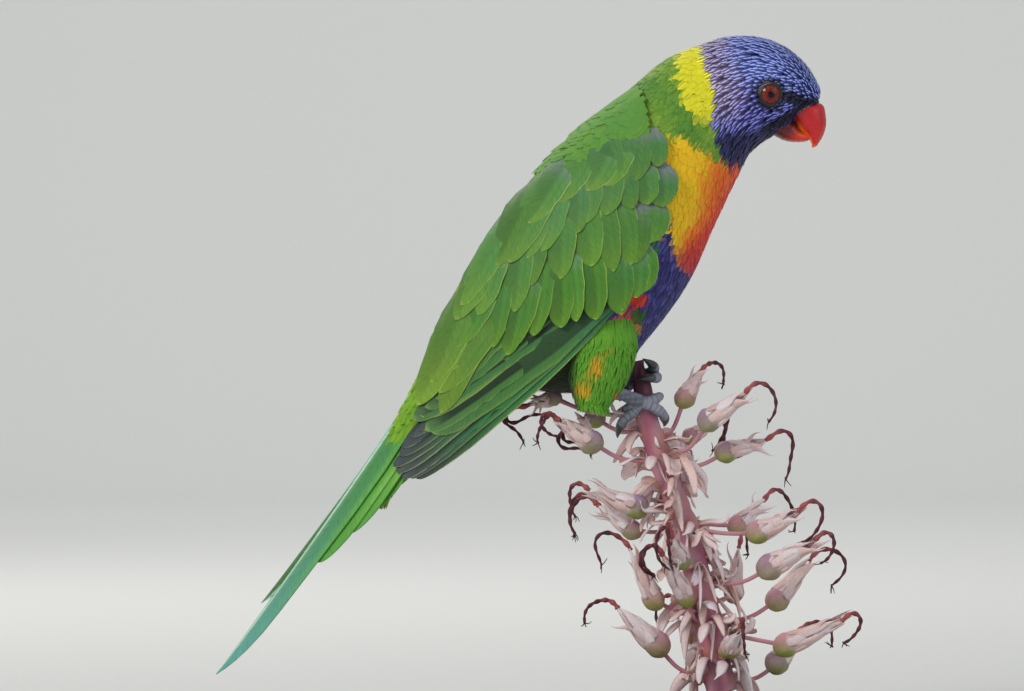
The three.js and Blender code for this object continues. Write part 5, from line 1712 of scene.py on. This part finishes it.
def bract(parts, height, angle, draw):
    turn = np.radians(angle)
    drop = draw.uniform(-13, 5)
    base = beside_stem(angle, height, -0.8)
    out = np.array([math.cos(turn), math.sin(turn), 0])
    aside = np.array([-out[1], out[0], 0])
    reach, sway = draw.uniform(4, 13), draw.normal(0, 3)
    path = smooth_path([base, base + out * reach * 0.5 + np.array([0, 0, 1.5]),
                        base + out * reach * 0.9 + aside * sway * 0.5 + np.array([0, 0, drop * 0.4]),
                        base + out * reach + aside * sway + np.array([0, 0, drop])], 16)
    s = np.linspace(0, 1, 16)
    width = draw.uniform(2.4, 5.6) * (np.sin(math.pi * (0.16 + 0.82 * s)) ** 0.8) + 0.1
    tone = mix(LEAF_PALE, LEAF_SALMON, draw.uniform(0, 0.5))
    streak = np.abs(LEAF_AROUND)
    colour = mix(linear("#b9785f"), tone, np.clip(s[:, None] * 1.6 + 0.4 * streak, 0, 1))
    up = np.array([0, 0, 1.0]) + draw.normal(0, 0.6, 3)
    ribbon(parts, path, up, width, colour)


def perch():
    draw = np.random.default_rng(71)
    parts = Parts()
    rings, sides = 150, 36
    rows = rows_at(STEM, np.linspace(0, 1, rings))
    rows[:, 2] = np.maximum(rows[:, 2], STEM_FOOT)
    spin = turns(sides)[None, :]
    z = rows[:, 2:3]
    ridges = 0.05 * np.cos(5 * spin + z * 0.05) + 0.02 * np.cos(13 * spin - z * 0.1)
    nodes = np.zeros((rings, sides))
    for height, angle, *_ in FLOWERS:
        turned = np.sin((spin - math.radians(angle)) / 2)
        near = np.exp(-((z - height) / 2.2) ** 2) * np.exp(-(turned * 2.4) ** 2)
        nodes = nodes + 0.22 * near
    keep_count = int(np.sum(rows[:, 2] > STEM_FOOT)) + 1
    radius = rows[:, 3:4] * (1 + ridges + nodes)
    crown = smooth(122, 134, z)
    radius = radius * (1 - 0.35 * crown + 0.10 * crown * np.sin(spin * 4 + z))
    points = sweep(rows[:keep_count, :3], sides, (1.0, 0, 0), radius[:keep_count])
    blotch = 0.5 + 0.5 * np.sin(spin * 2 + z * 0.21) * np.cos(z * 0.13 + spin)
    colour = mix(linear("#b55f80"), linear("#c9a0ac"), blotch)
    colour = mix(colour, linear("#b87c60"), np.clip(nodes * 3, 0, 0.8))
    # Painted shade: the stem's top, under the bird, is painted dark.
    colour = mix(colour, linear("#4a1c2c"), smooth(112, 126, z) * 0.9 * np.ones_like(spin))
    parts.add(points, colour[:keep_count])
    for spec in FLOWERS:
        flower(parts, spec, draw)
    bracts(parts, draw)
    thing = parts.make("perch_flowers", MATERIALS["perch"], "perch")
    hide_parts("perch_stem")


def lathe(profile, sides, centre):
    """A turned form from [radius, height] pairs."""
    profile = np.asarray(profile, float)
    spin = turns(sides)
    x = centre[0] + profile[:, 0:1] * np.cos(spin)
    y = centre[1] + profile[:, 0:1] * np.sin(spin)
    return np.stack([x, y, profile[:, 1:2] * np.ones_like(x)], axis=-1)


BASE_RADIUS, BASE_TOP, BASE_ROUNDING = 62.0, 10.0, 1.6


def turned_piece(name, profile, sides, centre, colour, material, slot):
    parts = Parts()
    parts.add(lathe(profile, sides, centre), linear(colour))
    thing = parts.make(name, MATERIALS[material], slot)
    turn_out(thing)
    return thing


def stand():
    """A turned wooden base with a groove round it, and the brass rod that holds the stem."""
    inner, top, rim = BASE_RADIUS - BASE_ROUNDING, BASE_TOP - BASE_ROUNDING, BASE_ROUNDING
    round_edge = [(inner + rim * math.sin(a), top + rim * math.cos(a)) for a in np.linspace(math.pi / 2, 0, 8)]
    profile = [(0.5, 0.0), (61.2, 0.0), (62.0, 0.8), (62.0, 3.4), (61.3, 3.8), (61.3, 4.3), (62.0, 4.7)]
    profile += round_edge + [(56.0, 10.0), (55.4, 9.7), (54.8, 10.0), (0.5, 10.0)]
    wood = turned_piece("base_wood", profile, 128, (0.0, 0.0), "#3a2418", "wood", "stand_wood")
    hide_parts("stand_base")
    profile = [(0.2, 10.0), (5.2, 10.0), (5.2, 10.7), (4.2, 11.4), (2.9, 11.8), (2.5, 12.4), (2.5, 15.6),
               (2.9, 16.0), (2.9, 16.5), (0.2, 16.5)]
    below_stem = (float(stem_at(STEM_FOOT)[0]), 0.0)
    brass = turned_piece("rod_brass", profile, 48, below_stem, "#b08a48", "brass", "stand_brass")
    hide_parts("stand_rod")


skin()
head_coat()
neck_coat()
torso_coat()
barb_coat()
shoulder_coat()
tail_covert_coat()
tail()
for side_name in ("left", "right"):
    wing(side_name)
    thigh_coat(side_name)
    foot(side_name)
for side_sign, side_name in ((1, "left"), (-1, "right")):
    eye(side_sign, side_name)
    eyelid(side_sign, side_name)
bill()
perch()
stand()


# Camera, light and floor

def look_at(thing, target):
    x, y, z = np.array(target) - np.array(thing.location)
    thing.rotation_euler = (math.pi / 2 + math.atan2(z, math.hypot(x, y)), 0, math.atan2(-x, y))


def camera():
    """The photograph's level side view, from about two metres."""
    data = bpy.data.cameras.new("camera")
    thing = add_to_scene("camera", data)
    bpy.context.scene.camera = thing
    middle = (-0.0395, 0.0, 0.1384)
    distance = 2.0
    seen_width = 0.3584
    data.sensor_width = 36
    data.lens = data.sensor_width * distance / seen_width
    thing.location = (middle[0], middle[1] - distance, middle[2])
    look_at(thing, middle)


def area_light(name, place, target, size, power_watts, colour):
    data = bpy.data.lights.new(name, "AREA")
    data.size, data.energy, data.color = size, power_watts, colour
    thing = add_to_scene(name, data)
    thing.location = place
    look_at(thing, target)


def studio():
    """A pale floor that curves up into a backdrop, soft light all round."""
    material, nodes, links, shader = new_material("studio_paper")
    set_inputs(shader, Base_Color=(0.66, 0.67, 0.66, 1), Roughness=0.9)
    near, far, height, bend, half = -5.0, 4.0, 3.0, 0.9, 5.0  # metres
    curve = np.linspace(0.1, math.pi / 2, 14)
    profile = [(near, 0.0), (far - bend, 0.0)]
    profile += [(far - bend + bend * math.sin(a), bend - bend * math.cos(a)) for a in curve]
    profile.append((far, height))
    points = [(side, y, z) for y, z in profile for side in (-half, half)]
    faces = [[2 * i, 2 * i + 1, 2 * i + 3, 2 * i + 2] for i in range(len(profile) - 1)]
    mesh = bpy.data.meshes.new("backdrop")
    mesh.from_pydata(points, [], faces)
    mesh.materials.append(material)
    mesh.polygons.foreach_set("use_smooth", np.ones(len(faces), bool))
    thing = add_to_scene("backdrop", mesh)
    world = bpy.data.worlds.new("studio")
    bpy.context.scene.world = world
    world.use_nodes = True
    set_inputs(world.node_tree.nodes["Background"], Color=(0.92, 0.95, 1.0, 1), Strength=0.42)
    centre = (0.0, 0.0, 0.15)
    area_light("key", (-1.1, -1.3, 1.0), centre, 0.6, 15, (1.0, 0.97, 0.92))
    area_light("fill", (1.3, -1.0, 0.7), centre, 1.2, 4, (0.92, 0.96, 1.0))
    area_light("rim", (-0.6, 1.1, 1.2), centre, 0.8, 9, (1.0, 0.96, 0.88))
    area_light("paper", (0.0, 1.9, 2.6), (0.0, 3.9, 0.7), 2.0, 42, (1.0, 0.98, 0.94))


camera()
studio()
bpy.context.scene.view_settings.view_transform = "Standard"
